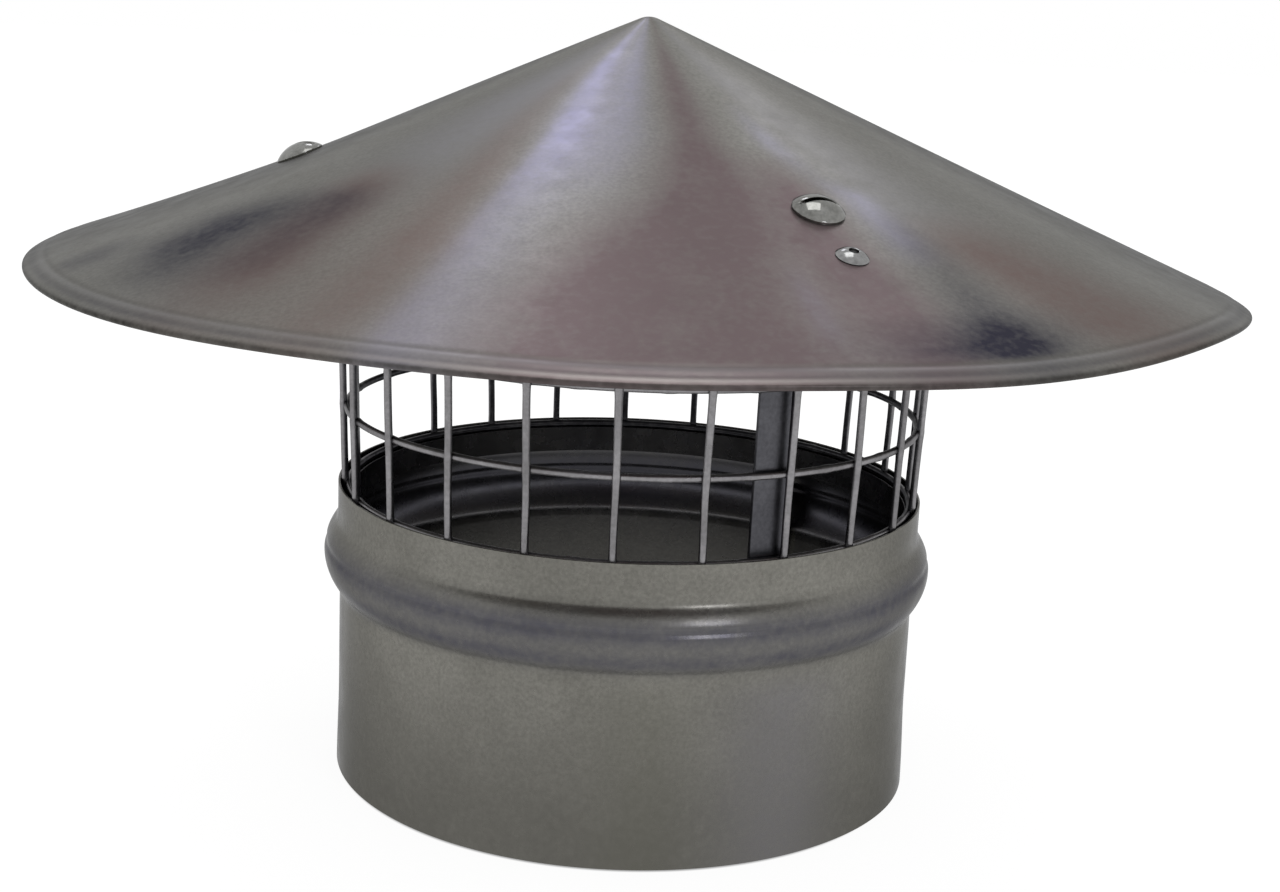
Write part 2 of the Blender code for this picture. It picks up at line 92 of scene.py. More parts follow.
def ring_grid(radius, height, azimuth):
    """Points of a turned surface: (radius cos azimuth, radius sin azimuth, height), one row each azimuth."""
    turn = azimuth[:, None]
    return np.stack(np.broadcast_arrays(radius * np.cos(turn), radius * np.sin(turn), height), axis=-1)


def grid_faces(rows, cols, close_rows, close_cols):
    """Quads of a grid: (i, j), (i + 1, j), (i + 1, j + 1), (i, j + 1), joined end to start where asked."""
    i = np.arange(rows if close_rows else rows - 1)[:, None]
    j = np.arange(cols if close_cols else cols - 1)[None, :]
    after_i = (i + 1) % rows
    after_j = (j + 1) % cols
    corners = [i * cols + j, after_i * cols + j, after_i * cols + after_j, i * cols + after_j]
    return np.stack(corners, axis=-1).reshape(-1, 4)


def add_piece(name, surfaces, material, smooth_angle=40.0):
    """Makes one piece of one or more grids of points, each with whether its rows and its columns close.

    Points that fall together are merged, and edges sharper than smooth_angle stay sharp.
    """
    points = []
    faces = []
    start = 0
    for grid, close_rows, close_cols in surfaces:
        rows, cols = grid.shape[:2]
        points.append(grid.reshape(-1, 3))
        faces.append(grid_faces(rows, cols, close_rows, close_cols) + start)
        start += rows * cols
    mesh = bpy.data.meshes.new(name)
    mesh.from_pydata(np.concatenate(points).tolist(), [], np.concatenate(faces).tolist())
    bm = bmesh.new()
    bm.from_mesh(mesh)
    bmesh.ops.remove_doubles(bm, verts=bm.verts, dist=2e-7)
    bmesh.ops.dissolve_degenerate(bm, edges=bm.edges, dist=1e-8)
    bm.to_mesh(mesh)
    bm.free()
    mesh.shade_smooth()
    mesh.set_sharp_from_angle(angle=math.radians(smooth_angle))
    mesh.materials.append(material)
    piece = bpy.data.objects.new(name, mesh)
    bpy.context.scene.collection.objects.link(piece)
    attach(piece, "root")
    return piece


def set_mask(piece, name, values):
    """Stores one number for each point of a piece, which its material reads as a mask."""
    attribute = piece.data.attributes.new(name, "FLOAT", "POINT")
    attribute.data.foreach_set("value", np.asarray(values, dtype=np.float32))


def points_of(piece):
    """Azimuth, distance from the axis and height of every point of a piece."""
    flat = np.zeros(len(piece.data.vertices) * 3)
    piece.data.vertices.foreach_get("co", flat)
    x, y, z = flat.reshape(-1, 3).T
    return np.arctan2(y, x), np.hypot(x, y), z


def bell(distance):
    """Soft bump: exp(-distance squared)."""
    return np.exp(-np.square(distance))


def turn_away(azimuth, centre):
    """Signed angle from a centre, from -pi to pi."""
    return np.mod(azimuth - centre + np.pi, 2.0 * np.pi) - np.pi


def ease(share):
    """Smooth step from 0 to 1: 3 s^2 - 2 s^3, held at both ends."""
    held = np.clip(share, 0.0, 1.0)
    return held * held * (3.0 - 2.0 * held)


def collar_outer(height):
    """Outer radius of the wall: the bead's arc with eased feet, a groove in it, and the opened rim."""
    arc = (BEAD_CHORD**2 / 4.0 + BEAD_DEPTH**2) / (2.0 * BEAD_DEPTH)
    along = height - BEAD_CENTRE
    bulge = np.sqrt(np.maximum(arc**2 - along**2, 0.0)) - (arc - BEAD_DEPTH)
    bulge = 0.5 * (bulge + np.sqrt(bulge**2 + BEAD_EASE**2))
    groove = GROOVE_DEPTH * bell((height - GROOVE_CENTRE) / GROOVE_WIDTH)
    step = RIM_STEP * ease((height - BEAD_CENTRE) / BEAD_CHORD + 0.5)
    return COLLAR_RADIUS + bulge - groove + step


def wall_outline(outer, heights):
    """Closed outline of a sheet wall: up its outer face, over a rounded edge, down its inner face."""
    slope = np.gradient(outer, heights)
    length = np.sqrt(1.0 + slope**2)
    inner_r = outer - SHEET / length
    inner_z = heights + SHEET * slope / length
    radius = np.concatenate([
        [outer[0] - EDGE_ROUND], outer, [outer[-1] - EDGE_ROUND, inner_r[-1] + EDGE_ROUND],
        inner_r[::-1], [inner_r[0] + EDGE_ROUND],
    ])
    low = heights[0] - EDGE_ROUND
    high = heights[-1] + EDGE_ROUND
    height = np.concatenate([[low], heights, [high, high], inner_z[::-1], [low]])
    return radius, height


collar_heights = np.concatenate([
    np.linspace(EDGE_ROUND, BEAD_ZONE[0], 28)[:-1],
    np.linspace(*BEAD_ZONE, 85)[:-1],
    np.linspace(BEAD_ZONE[1], COLLAR_TOP - EDGE_ROUND, 20),
])
collar_azimuths = np.radians(np.concatenate([
    np.arange(0.0, LAP_ZONE[0], 1.5), np.arange(*LAP_ZONE, 0.25), np.arange(LAP_ZONE[1], 360.0, 1.5),
]))
outline_r, outline_z = wall_outline(collar_outer(collar_heights), collar_heights)
past_edge = turn_away(collar_azimuths, LAP_AZIMUTH)[:, None] * COLLAR_RADIUS
lap = LAP_STEP * ease(-past_edge / LAP_EDGE) * (1.0 - ease(-past_edge / LAP_LENGTH))
spots = sum(
    SPOT_DEPTH * bell(np.hypot(past_edge + SPOT_FROM_EDGE, outline_z - spot) / SPOT_RADIUS)
    for spot in SPOT_HEIGHTS
)
swell = sum(
    height * bell(turn_away(collar_azimuths, math.radians(centre)) / math.radians(spread))[:, None]
    * (1.0 - ease(outline_z / fade)) * (1.0 - ease((outline_z - SWELL_HOLD) / SWELL_FADE))
    for height, centre, spread, fade in FOOT_SWELLS
)
collar_grid = ring_grid(outline_r[None, :] + lap - spots + swell, outline_z[None, :], collar_azimuths)


def mix_colour(nodes, links, share, one, other):
    """Mix node of two colours, either of them a socket or a plain colour."""
    mix = nodes.new("ShaderNodeMix")
    mix.data_type = "RGBA"
    for place, value in ((0, share), (6, one), (7, other)):
        if isinstance(value, bpy.types.NodeSocket):
            links.new(value, mix.inputs[place])
        elif place == 0:
            mix.inputs[place].default_value = value
        else:
            mix.inputs[place].default_value = (*value, 1.0)
    return mix.outputs[2]


def ramp_value(nodes, links, value, low, high, out_low, out_high):
    """Map Range node, held at both ends."""
    node = nodes.new("ShaderNodeMapRange")
    links.new(value, node.inputs["Value"])
    node.inputs["From Min"].default_value = low
    node.inputs["From Max"].default_value = high
    node.inputs["To Min"].default_value = out_low
    node.inputs["To Max"].default_value = out_high
    return node.outputs["Result"]


NOISE_MIDDLE = (0.3, 0.7)
CLOUD_MIDDLE = (0.36, 0.64)
GRAIN_SHADE = (0.86, 1.14)
GLOSS_SCALE = 140.0
GLOSS_SPREAD = (-0.03, 0.04)
PATCH_NOISES = ((45.0, 0.86, 1.12), (420.0, 0.84, 1.16))


def make_zinc_skin():
    """Node group of a zinc coat: clouds of colour, fine grain, uneven gloss and a shallow relief."""
    group = bpy.data.node_groups.new("zinc_skin", "ShaderNodeTree")
    for name, kind, value in (
        ("Dull", "NodeSocketColor", (0.16, 0.16, 0.14, 1.0)),
        ("Clear", "NodeSocketColor", (0.20, 0.20, 0.18, 1.0)),
        ("Cloud Size", "NodeSocketFloat", 30.0),
        ("Grain Size", "NodeSocketFloat", 900.0),
        ("Roughness", "NodeSocketFloat", 0.25),
    ):
        socket = group.interface.new_socket(name=name, in_out="INPUT", socket_type=kind)
        socket.default_value = value
    for name, kind in (("Colour", "Color"), ("Roughness", "Float"), ("Height", "Float")):
        group.interface.new_socket(name=name, in_out="OUTPUT", socket_type=f"NodeSocket{kind}")
    nodes = group.nodes
    links = group.links
    given = nodes.new("NodeGroupInput")
    result = nodes.new("NodeGroupOutput")
    place = nodes.new("ShaderNodeTexCoord")

    def noise(scale, detail, roughness=0.5):
        """Noise over the piece's own coordinates, its scale a socket or a number."""
        node = nodes.new("ShaderNodeTexNoise")
        links.new(place.outputs["Object"], node.inputs["Vector"])
        if isinstance(scale, bpy.types.NodeSocket):
            links.new(scale, node.inputs["Scale"])
        else:
            node.inputs["Scale"].default_value = scale
        node.inputs["Detail"].default_value = detail
        node.inputs["Roughness"].default_value = roughness
        return node.outputs["Fac"]

    clouds = noise(given.outputs["Cloud Size"], 4.0, 0.55)
    grain = noise(given.outputs["Grain Size"], 2.0, 0.6)
    share = ramp_value(nodes, links, clouds, *CLOUD_MIDDLE, 0.0, 1.0)
    colour = mix_colour(nodes, links, share, given.outputs["Dull"], given.outputs["Clear"])
    shade = ramp_value(nodes, links, grain, *NOISE_MIDDLE, *GRAIN_SHADE)
    tone = nodes.new("ShaderNodeVectorMath")
    tone.operation = "SCALE"
    links.new(colour, tone.inputs[0])
    links.new(shade, tone.inputs["Scale"])
    links.new(tone.outputs["Vector"], result.inputs["Colour"])
    uneven = ramp_value(nodes, links, noise(GLOSS_SCALE, 3.0), *NOISE_MIDDLE, *GLOSS_SPREAD)
    gloss = nodes.new("ShaderNodeMath")
    gloss.operation = "ADD"
    links.new(uneven, gloss.inputs[0])
    links.new(given.outputs["Roughness"], gloss.inputs[1])
    links.new(gloss.outputs["Value"], result.inputs["Roughness"])
    links.new(grain, result.inputs["Height"])
    return group


zinc_skin = make_zinc_skin()
RIM_ZONE = (0.82, 0.95)


def zinc_material(name, dull, clear, cloud_size, roughness, relief, edge, rim_shade=1.0):
    """Zinc-coated steel: the zinc skin on a metal, with painted shade where it is seen at a grazing angle.

    The metal's edge tint is the grey called edge, and a narrow rim of painted shade falls to rim_shade times the
    colour.
    """
    material = bpy.data.materials.new(name)
    material.use_nodes = True
    nodes = material.node_tree.nodes
    links = material.node_tree.links
    shader = nodes["Principled BSDF"]
    shader.inputs["Metallic"].default_value = 1.0
    shader.inputs["Specular Tint"].default_value = (edge, edge, edge, 1.0)
    skin = nodes.new("ShaderNodeGroup")
    skin.node_tree = zinc_skin
    skin.inputs["Dull"].default_value = (*dull, 1.0)
    skin.inputs["Clear"].default_value = (*clear, 1.0)
    skin.inputs["Cloud Size"].default_value = cloud_size
    skin.inputs["Roughness"].default_value = roughness
    bump = nodes.new("ShaderNodeBump")
    bump.inputs["Distance"].default_value = relief
    links.new(skin.outputs["Height"], bump.inputs["Height"])
    links.new(bump.outputs["Normal"], shader.inputs["Normal"])
    links.new(skin.outputs["Roughness"], shader.inputs["Roughness"])
    facing = nodes.new("ShaderNodeLayerWeight")
    facing.inputs["Blend"].default_value = 0.5
    shade = ramp_value(nodes, links, facing.outputs["Facing"], *RIM_ZONE, 1.0, rim_shade)
    tone = nodes.new("ShaderNodeVectorMath")
    tone.name = "tone"
    tone.operation = "SCALE"
    links.new(skin.outputs["Colour"], tone.inputs[0])
    links.new(shade, tone.inputs["Scale"])
    links.new(tone.outputs["Vector"], shader.inputs["Base Color"])
    return material


def make_patchy():
    """Node group that breaks up a mask: mask times noise of two sizes, held between 0 and 1."""
    group = bpy.data.node_groups.new("patchy", "ShaderNodeTree")
    group.interface.new_socket(name="Mask", in_out="INPUT", socket_type="NodeSocketFloat")
    group.interface.new_socket(name="Mask", in_out="OUTPUT", socket_type="NodeSocketFloat")
    nodes = group.nodes
    links = group.links
    given = nodes.new("NodeGroupInput")
    result = nodes.new("NodeGroupOutput")
    place = nodes.new("ShaderNodeTexCoord")
    value = given.outputs["Mask"]
    for scale, low, high in PATCH_NOISES:
        noise = nodes.new("ShaderNodeTexNoise")
        links.new(place.outputs["Object"], noise.inputs["Vector"])
        noise.inputs["Scale"].default_value = scale
        noise.inputs["Detail"].default_value = 3.0
        times = nodes.new("ShaderNodeMath")
        times.operation = "MULTIPLY"
        times.use_clamp = True
        links.new(value, times.inputs[0])
        links.new(ramp_value(nodes, links, noise.outputs["Fac"], *NOISE_MIDDLE, low, high), times.inputs[1])
        value = times.outputs["Value"]
    links.new(value, result.inputs["Mask"])
    return group


patchy = make_patchy()


def tint(material, mask, colour):
    """Mixes one more colour into a material's zinc colour where a mask of the piece says so."""
    nodes = material.node_tree.nodes
    links = material.node_tree.links
    colour_in = nodes["tone"].inputs[0]
    reader = nodes.new("ShaderNodeAttribute")
    reader.attribute_name = mask
    broken = nodes.new("ShaderNodeGroup")
    broken.node_tree = patchy
    links.new(reader.outputs["Fac"], broken.inputs["Mask"])
    before = colour_in.links[0].from_socket
    links.new(mix_colour(nodes, links, broken.outputs["Mask"], before, colour), colour_in)


collar_zinc = zinc_material(
    "collar_zinc", dull=(0.150, 0.146, 0.131), clear=(0.186, 0.181, 0.163), cloud_size=28.0,
    roughness=0.26, relief=0.00002, edge=0.55, rim_shade=0.15,
)
collar = add_piece("collar_sheet", [(collar_grid, True, True)], collar_zinc)
collar_azimuth, collar_r, collar_z = points_of(collar)


def side_painted_patch(strength, centre, width):
    """Soft patch of painted shade and reflection below the bead: strength exp(-(degrees off its centre / width)^2),
    faded at its top.
    """
    off = np.degrees(turn_away(collar_azimuth, math.radians(centre)))
    return strength * bell(off / width) * ease((SIDE_PATCH_TOP - collar_z) / SIDE_PATCH_FADE)


# Painted shade and reflection on its zinc, each a colour and a mask: painted shade inside, most behind the
# bead, painted shade darker towards the foot and in two bands along the bead, and in front an olive patch
# of painted shade and a violet patch of painted reflection.
inner_face = collar_r < collar_outer(collar_z) - 0.6 * SHEET
inside_low, inside_more, inside_width = INSIDE_SHADE
collar_shades = {
    "inside": (
        (0.100, 0.100, 0.120),
        inner_face * (inside_low + inside_more * bell((collar_z - BEAD_CENTRE) / inside_width)),
    ),
    "foot_shade": (
        (0.110, 0.107, 0.096),
        FOOT_SHADE[0] * ease((FOOT_SHADE[1] - collar_z) / FOOT_SHADE[1]),
    ),
    "bead_shade": (
        (0.080, 0.079, 0.092),
        sum(strength * bell((collar_z - height) / width) for strength, height, width in BEAD_SHADE_BANDS),
    ),
    "olive_shade": ((0.112, 0.110, 0.092), side_painted_patch(*OLIVE_SHADE_PATCH)),
    "violet_reflection": ((0.160, 0.155, 0.166), side_painted_patch(*VIOLET_REFLECTION_PATCH)),
}
for mask, (colour, values) in collar_shades.items():
    set_mask(collar, mask, values)
    tint(collar_zinc, mask, colour)
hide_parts("collar")

# Clamp band
# A plain strip of the same sheet, rolled inside the rim. It traps the feet of the upright wires
# between itself and the collar.
BAND_OUTSIDE = 0.08687
BAND_LOW = 0.0791
BAND_HIGH = 0.0876
BAND_SHADE = 0.6

band_heights = np.linspace(BAND_LOW + EDGE_ROUND, BAND_HIGH - EDGE_ROUND, 8)
band_r, band_z = wall_outline(np.full(band_heights.shape, BAND_OUTSIDE), band_heights)
band_azimuths = np.radians(np.arange(0.0, 360.0, 2.0))
band_grid = ring_grid(band_r[None, :], band_z[None, :], band_azimuths)
band = add_piece("clamp_band", [(band_grid, True, True)], collar_zinc)
# Painted shade: the band takes the collar's darker inside colour at a fixed strength
set_mask(band, "inside", np.full(len(band.data.vertices), BAND_SHADE))
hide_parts("mesh_clamp_band")

# Bird mesh
# Welded steel wire, galvanised after welding, so the zinc fills the corners where a ring is sunk
# into an upright. Cut to a strip, rolled up with the uprights outside, and its feet put in the rim.
WIRE_RADIUS = 0.0011
WIRE_COUNT = 22
WIRE_START = math.radians(76.1)
WIRE_STEP = math.radians(15.973)
WIRE_AT_RIM = 0.0886
WIRE_LEAN = 0.0022 / 0.0668
WIRE_SIDES = 14
WIRE_CUT = 0.86
WELD_SUNK = 0.0010
WELD_FILLET = 0.00016
WELD_WIDTH = 0.0017
SWAY = 0.00018
SWAY_LENGTHS = (0.0113, 0.021, 0.017)
SWAY_FREE = 0.02
RING_HEIGHTS = (0.0890, 0.1137, 0.1384, 0.1631)


def wire_place(height):
    """Distance of the uprights' centre line from the axis: it leans out above the rim."""
    return WIRE_AT_RIM + WIRE_LEAN * (height - COLLAR_TOP)


def tube_grid(centres, across, outwards, radius):
    """Round wire along a line: centre + radius (cos t across + sin t outwards), one column each t."""
    turn = np.linspace(0.0, 2.0 * np.pi, WIRE_SIDES, endpoint=False)[None, :, None]
    return centres[:, None, :] + radius[:, None, None] * (np.cos(turn) * across + np.sin(turn) * outwards)


def inner_side_shade(outwards):
    """Share of painted shade on the wire's inner side: eased from 0 on its outer side to 1 on its inner side."""
    return ease(0.5 - 0.8 * outwards / WIRE_RADIUS)


wire_zinc = zinc_material(
    "wire_zinc", dull=(0.19, 0.185, 0.190), clear=(0.26, 0.254, 0.262), cloud_size=60.0,
    roughness=0.30, relief=0.00003, edge=0.5,
)
wire_low, wire_high = (corner.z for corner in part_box("mesh_wire_01"))
# Places along a wire, in mm from its foot: close together at the cut end and at the ring in the rim
wire_z = np.concatenate([
    [0.0, 0.0, 0.05], np.linspace(0.12, 7.0, 12), np.linspace(7.2, 11.0, 9), np.arange(13.0, 84.0, 1.6),
])
wire_z = wire_low + wire_z / 1000.0
wire_z = wire_z[wire_z < wire_high - 0.0002]
wire_z = np.concatenate([wire_z, [wire_high - 0.00005, wire_high, wire_high]])
wire_swell = sum(bell((wire_z - height) / WELD_WIDTH) for height in RING_HEIGHTS)
wire_reach = WIRE_RADIUS + WELD_FILLET * wire_swell
wire_reach[[0, -1]] = 0.0
wire_reach[[1, -2]] = WIRE_RADIUS * WIRE_CUT
wire_free = ease((wire_z - COLLAR_TOP) / SWAY_FREE)
chance = np.random.default_rng(11)
for index in range(WIRE_COUNT):
    azimuth = WIRE_START + WIRE_STEP * index
    outward = np.array([math.cos(azimuth), math.sin(azimuth), 0.0])
    sideways = np.array([-math.sin(azimuth), math.cos(azimuth), 0.0])
    phases = chance.uniform(0.0, 2.0 * np.pi, 3)
    waves = [np.sin(wire_z / length + phase) for length, phase in zip(SWAY_LENGTHS, phases)]
    sway = SWAY * wire_free * (waves[0] + 0.7 * waves[1])
    bow = 0.5 * SWAY * wire_free * waves[2]
    line = (wire_place(wire_z) + bow)[:, None] * outward + sway[:, None] * sideways
    line[:, 2] = wire_z
    upright = add_piece(
        f"upright_wire_{index + 1:02d}",
        [(tube_grid(line, -sideways, -outward, wire_reach), False, True)],
        wire_zinc,
        60.0,
    )
    point_azimuth, point_r, point_z = points_of(upright)
    outwards = point_r * np.cos(point_azimuth - azimuth) - wire_place(point_z)
    set_mask(upright, "inward", inner_side_shade(outwards))
    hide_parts(f"mesh_wire_{index + 1:02d}")

ring_azimuths = np.radians(np.arange(0.0, 360.0, 1.0))
from_wire = turn_away(ring_azimuths, WIRE_START)
from_wire = np.mod(from_wire + WIRE_STEP / 2.0, WIRE_STEP) - WIRE_STEP / 2.0
turn = np.linspace(0.0, 2.0 * np.pi, WIRE_SIDES, endpoint=False)[None, :]
for index, height in enumerate(RING_HEIGHTS):
    centre = wire_place(height) - 2.0 * WIRE_RADIUS + WELD_SUNK
    swell = WIRE_RADIUS + WELD_FILLET * bell(from_wire * centre / WELD_WIDTH)
    ring_r = centre + swell[:, None] * np.cos(turn)
    ring_z = height + swell[:, None] * np.sin(turn)
    ring = add_piece(
        f"ring_wire_{index + 1}",
        [(ring_grid(ring_r, ring_z, ring_azimuths), True, True)],
        wire_zinc,
        60.0,
    )
    set_mask(ring, "inward", inner_side_shade(points_of(ring)[1] - centre))
    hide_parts(f"mesh_ring_{index + 1}")

# Painted shade on the inner side of the wires
tint(wire_zinc, "inward", (0.045, 0.045, 0.050))

# Strap legs
# Flat galvanised strip: the foot is spot welded inside the collar, a joggle brings the strip inside
# the band and the mesh, and the top is bent outwards to lie under the hat.
LEG_NAMES = ("front", "back", "left")
LEG_AZIMUTHS = np.radians([-64.4, 54.1, 182.3])
BOLT_PLACES = (0.10623, 0.10623, 0.10350)
STRAP = 0.0015
STRAP_WIDTH = 0.0100
STRAP_ROUND = 0.0003
GAP = 0.0003
FOOT_LOW = 0.0180
FOOT_HIGH = 0.0480
JOGGLE_TOP = 0.0720
FOOT_PLACE = 0.08799
SHAFT_INSET = 0.0033
CORNER_PLACE = 0.0880
FLANGE_END = 0.14107
FLANGE_START = CORNER_PLACE + 0.010
LEG_BENDS = (0.006, 0.006, 0.004)
BEND_STEPS = 12
STRAP_STEP = 0.0016
FLANGE_SKEW = math.radians(5.5)
HAT_RADIUS = 0.1812
HAT_SLOPE = 0.4301
HAT_TIP = 0.23530
DIP_DEPTHS = (0.00110, 0.00160, 0.00298)
DIP_SPREAD = 0.0724
DIP_POWER = 0.911
DIP_ROUND = 0.005
EDGE_RISE = 0.0023
EDGE_POWER = 4.5
# Where the hat's edge stands up or down: how far, azimuth and spread in degrees
EDGE_WAVES = (
    (0.0016, -172.0, 28.0), (0.0010, -112.0, 20.0), (0.0009, -76.0, 12.0), (0.0023, -32.0, 17.0),
    (-0.0019, 4.0, 14.0),
)


def hat_warp(radius, azimuth):
    """Stand-off of the hat from a plain cone.

    Each bolt draws a tent-like dip, depth exp(-(sqrt(d^2 + round^2) / spread)^0.911), and the edge
    flares up and waves, (rise + height exp(-(turn / spread)^2)) (radius / hat radius)^4.5.
    """
    rise = EDGE_RISE
    for height, centre, spread in EDGE_WAVES:
        rise = rise + height * bell(turn_away(azimuth, math.radians(centre)) / math.radians(spread))
    move = rise * (radius / HAT_RADIUS) ** EDGE_POWER
    for leg, place, depth in zip(LEG_AZIMUTHS, BOLT_PLACES, DIP_DEPTHS):
        across = radius * np.cos(azimuth - leg) - place
        along = radius * np.sin(azimuth - leg)
        away = np.sqrt(across**2 + along**2 + DIP_ROUND**2)
        move = move - depth * np.exp(-((away / DIP_SPREAD) ** DIP_POWER))
    return move


def hat_height(radius, azimuth):
    """Upper face of the hat over the flanges: a cone from its tip, with the stand-off."""
    return HAT_TIP - HAT_SLOPE * radius + hat_warp(radius, azimuth)


def flange_turn(radius, bolt_place):
    """Turn of a straight but askew flange about the axis: skew (bolt place / radius - 1)."""
    return FLANGE_SKEW * (bolt_place / np.maximum(radius, FOOT_PLACE) - 1.0)


def bent_strip(corners, bends):
    """Line through corner points in a plane, each corner replaced by an arc of its bend radius."""
    line = [corners[:1]]
    for before, corner, after, bend in zip(corners[:-2], corners[1:-1], corners[2:], bends):
        back = (before - corner) / np.linalg.norm(before - corner)
        on = (after - corner) / np.linalg.norm(after - corner)
        half = math.acos(float(np.clip(back @ on, -1.0, 1.0))) / 2.0
        middle = (back + on) / np.linalg.norm(back + on)
        centre = corner + middle * bend / math.sin(half)
        start = corner + back * bend / math.tan(half) - centre
        sign = math.copysign(1.0, back[0] * on[1] - back[1] * on[0])
        angle = sign * (math.pi - 2.0 * half) * np.linspace(0.0, 1.0, BEND_STEPS)
        turned = np.stack([
            start[0] * np.cos(angle) - start[1] * np.sin(angle),
            start[0] * np.sin(angle) + start[1] * np.cos(angle),
        ], axis=-1)
        line.append(centre + turned)
    line.append(corners[-1:])
    return np.concatenate(line)


def spaced(line, step):
    """The same line with its points at even spacing."""
    along = np.concatenate([[0.0], np.cumsum(np.linalg.norm(np.diff(line, axis=0), axis=1))])
    even = np.linspace(0.0, along[-1], max(2, int(round(along[-1] / step)) + 1))
    return np.stack([np.interp(even, along, line[:, 0]), np.interp(even, along, line[:, 1])], axis=-1)


def strap_section(shrink):
    """Rounded rectangle, width by thickness, as (across, through) points in order, its rounding shrunk."""
    half_w = STRAP_WIDTH / 2.0 - STRAP_ROUND
    half_t = STRAP / 2.0 - STRAP_ROUND
    corners = ((half_w, half_t), (-half_w, half_t), (-half_w, -half_t), (half_w, -half_t))
    points = []
    for quarter, (across, through) in enumerate(corners):
        turn = np.radians(90.0 * quarter + np.linspace(0.0, 90.0, 4))
        points.append(np.stack([
            across + (STRAP_ROUND - shrink) * np.cos(turn),
            through + (STRAP_ROUND - shrink) * np.sin(turn),
        ], axis=-1))
    return np.concatenate(points)


# Its colours are darker than the collar's as painted shade, for a strip that stands under the hat
strap_zinc_in_shade = zinc_material(
    "strap_zinc_in_shade", dull=(0.070, 0.070, 0.078), clear=(0.100, 0.100, 0.110), cloud_size=45.0,
    roughness=0.36, relief=0.00004, edge=0.5,
)
section = strap_section(0.0)
inset = strap_section(STRAP_ROUND * 0.7)
upward = np.array([0.0, 0.0, 1.0])
below = (SHEET + GAP + STRAP / 2.0) * math.sqrt(1.0 + HAT_SLOPE**2)
for name, azimuth, bolt_place in zip(LEG_NAMES, LEG_AZIMUTHS, BOLT_PLACES):
    flange_r = np.linspace(FLANGE_START, FLANGE_END, 24)
    flange_z = hat_height(flange_r, azimuth) - below
    slope = (flange_z[1] - flange_z[0]) / (flange_r[1] - flange_r[0])
    corners = np.array([
        [FOOT_PLACE, FOOT_LOW],
        [FOOT_PLACE, FOOT_HIGH],
        [wire_place(JOGGLE_TOP) - SHAFT_INSET, JOGGLE_TOP],
        [CORNER_PLACE, flange_z[0] - slope * (flange_r[0] - CORNER_PLACE)],
        [flange_r[0], flange_z[0]],
    ])
    line = bent_strip(corners, LEG_BENDS)
    line = spaced(np.concatenate([line, np.stack([flange_r, flange_z], axis=-1)[1:]]), STRAP_STEP)
    tangent = np.gradient(line, axis=0)
    tangent /= np.linalg.norm(tangent, axis=1)[:, None]
    side = np.stack([-tangent[:, 1], tangent[:, 0]], axis=-1)
    turned = (azimuth + flange_turn(line[:, 0], bolt_place))[:, None]
    outward = np.concatenate([np.cos(turned), np.sin(turned), 0.0 * turned], axis=1)
    sideways = np.concatenate([-np.sin(turned), np.cos(turned), 0.0 * turned], axis=1)
    centres = line[:, :1] * outward + line[:, 1:] * upward
    through = side[:, :1] * outward + side[:, 1:] * upward
    along = tangent[:, :1] * outward + tangent[:, 1:] * upward
    across_part = section[None, :, :1] * sideways[:, None, :]
    grid = centres[:, None, :] + across_part + section[None, :, 1:] * through[:, None, :]
    caps = []
    for place, sign in ((0, -1.0), (-1, 1.0)):
        centre = centres[place] + sign * along[place] * STRAP_ROUND * 0.5
        cap = centre + inset[:, :1] * sideways[place] + inset[:, 1:] * through[place]
        caps.append(np.stack([cap, np.repeat(centre[None, :], len(inset), axis=0)]))
    grid = np.concatenate([caps[0][::-1], grid, caps[1]])
    leg = add_piece(f"strap_leg_{name}", [(grid[:, ::-1], False, True)], strap_zinc_in_shade)
    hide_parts(f"leg_{name}")

# Hat
# One disc of galvanised sheet spun to a cone with a small round tip. Its edge is turned down and
# folded under into a hem. The bolts draw it down at the legs, and its edge stands up in places.
TIP_ROUND = 0.0070
SHOULDER_START = 0.1692
SHOULDER_SLOPE = math.radians(38.0)
HEM_RADIUS = 0.00085
HEM_WIDTH = 0.0050
HEM_CREASE = 0.00015
HEM_OPEN = 0.00003
# Shallow rings in the hem: radius, width and depth
HEM_GROOVES = ((0.1752, 0.0009, 0.00016), (0.1784, 0.0009, 0.00014))


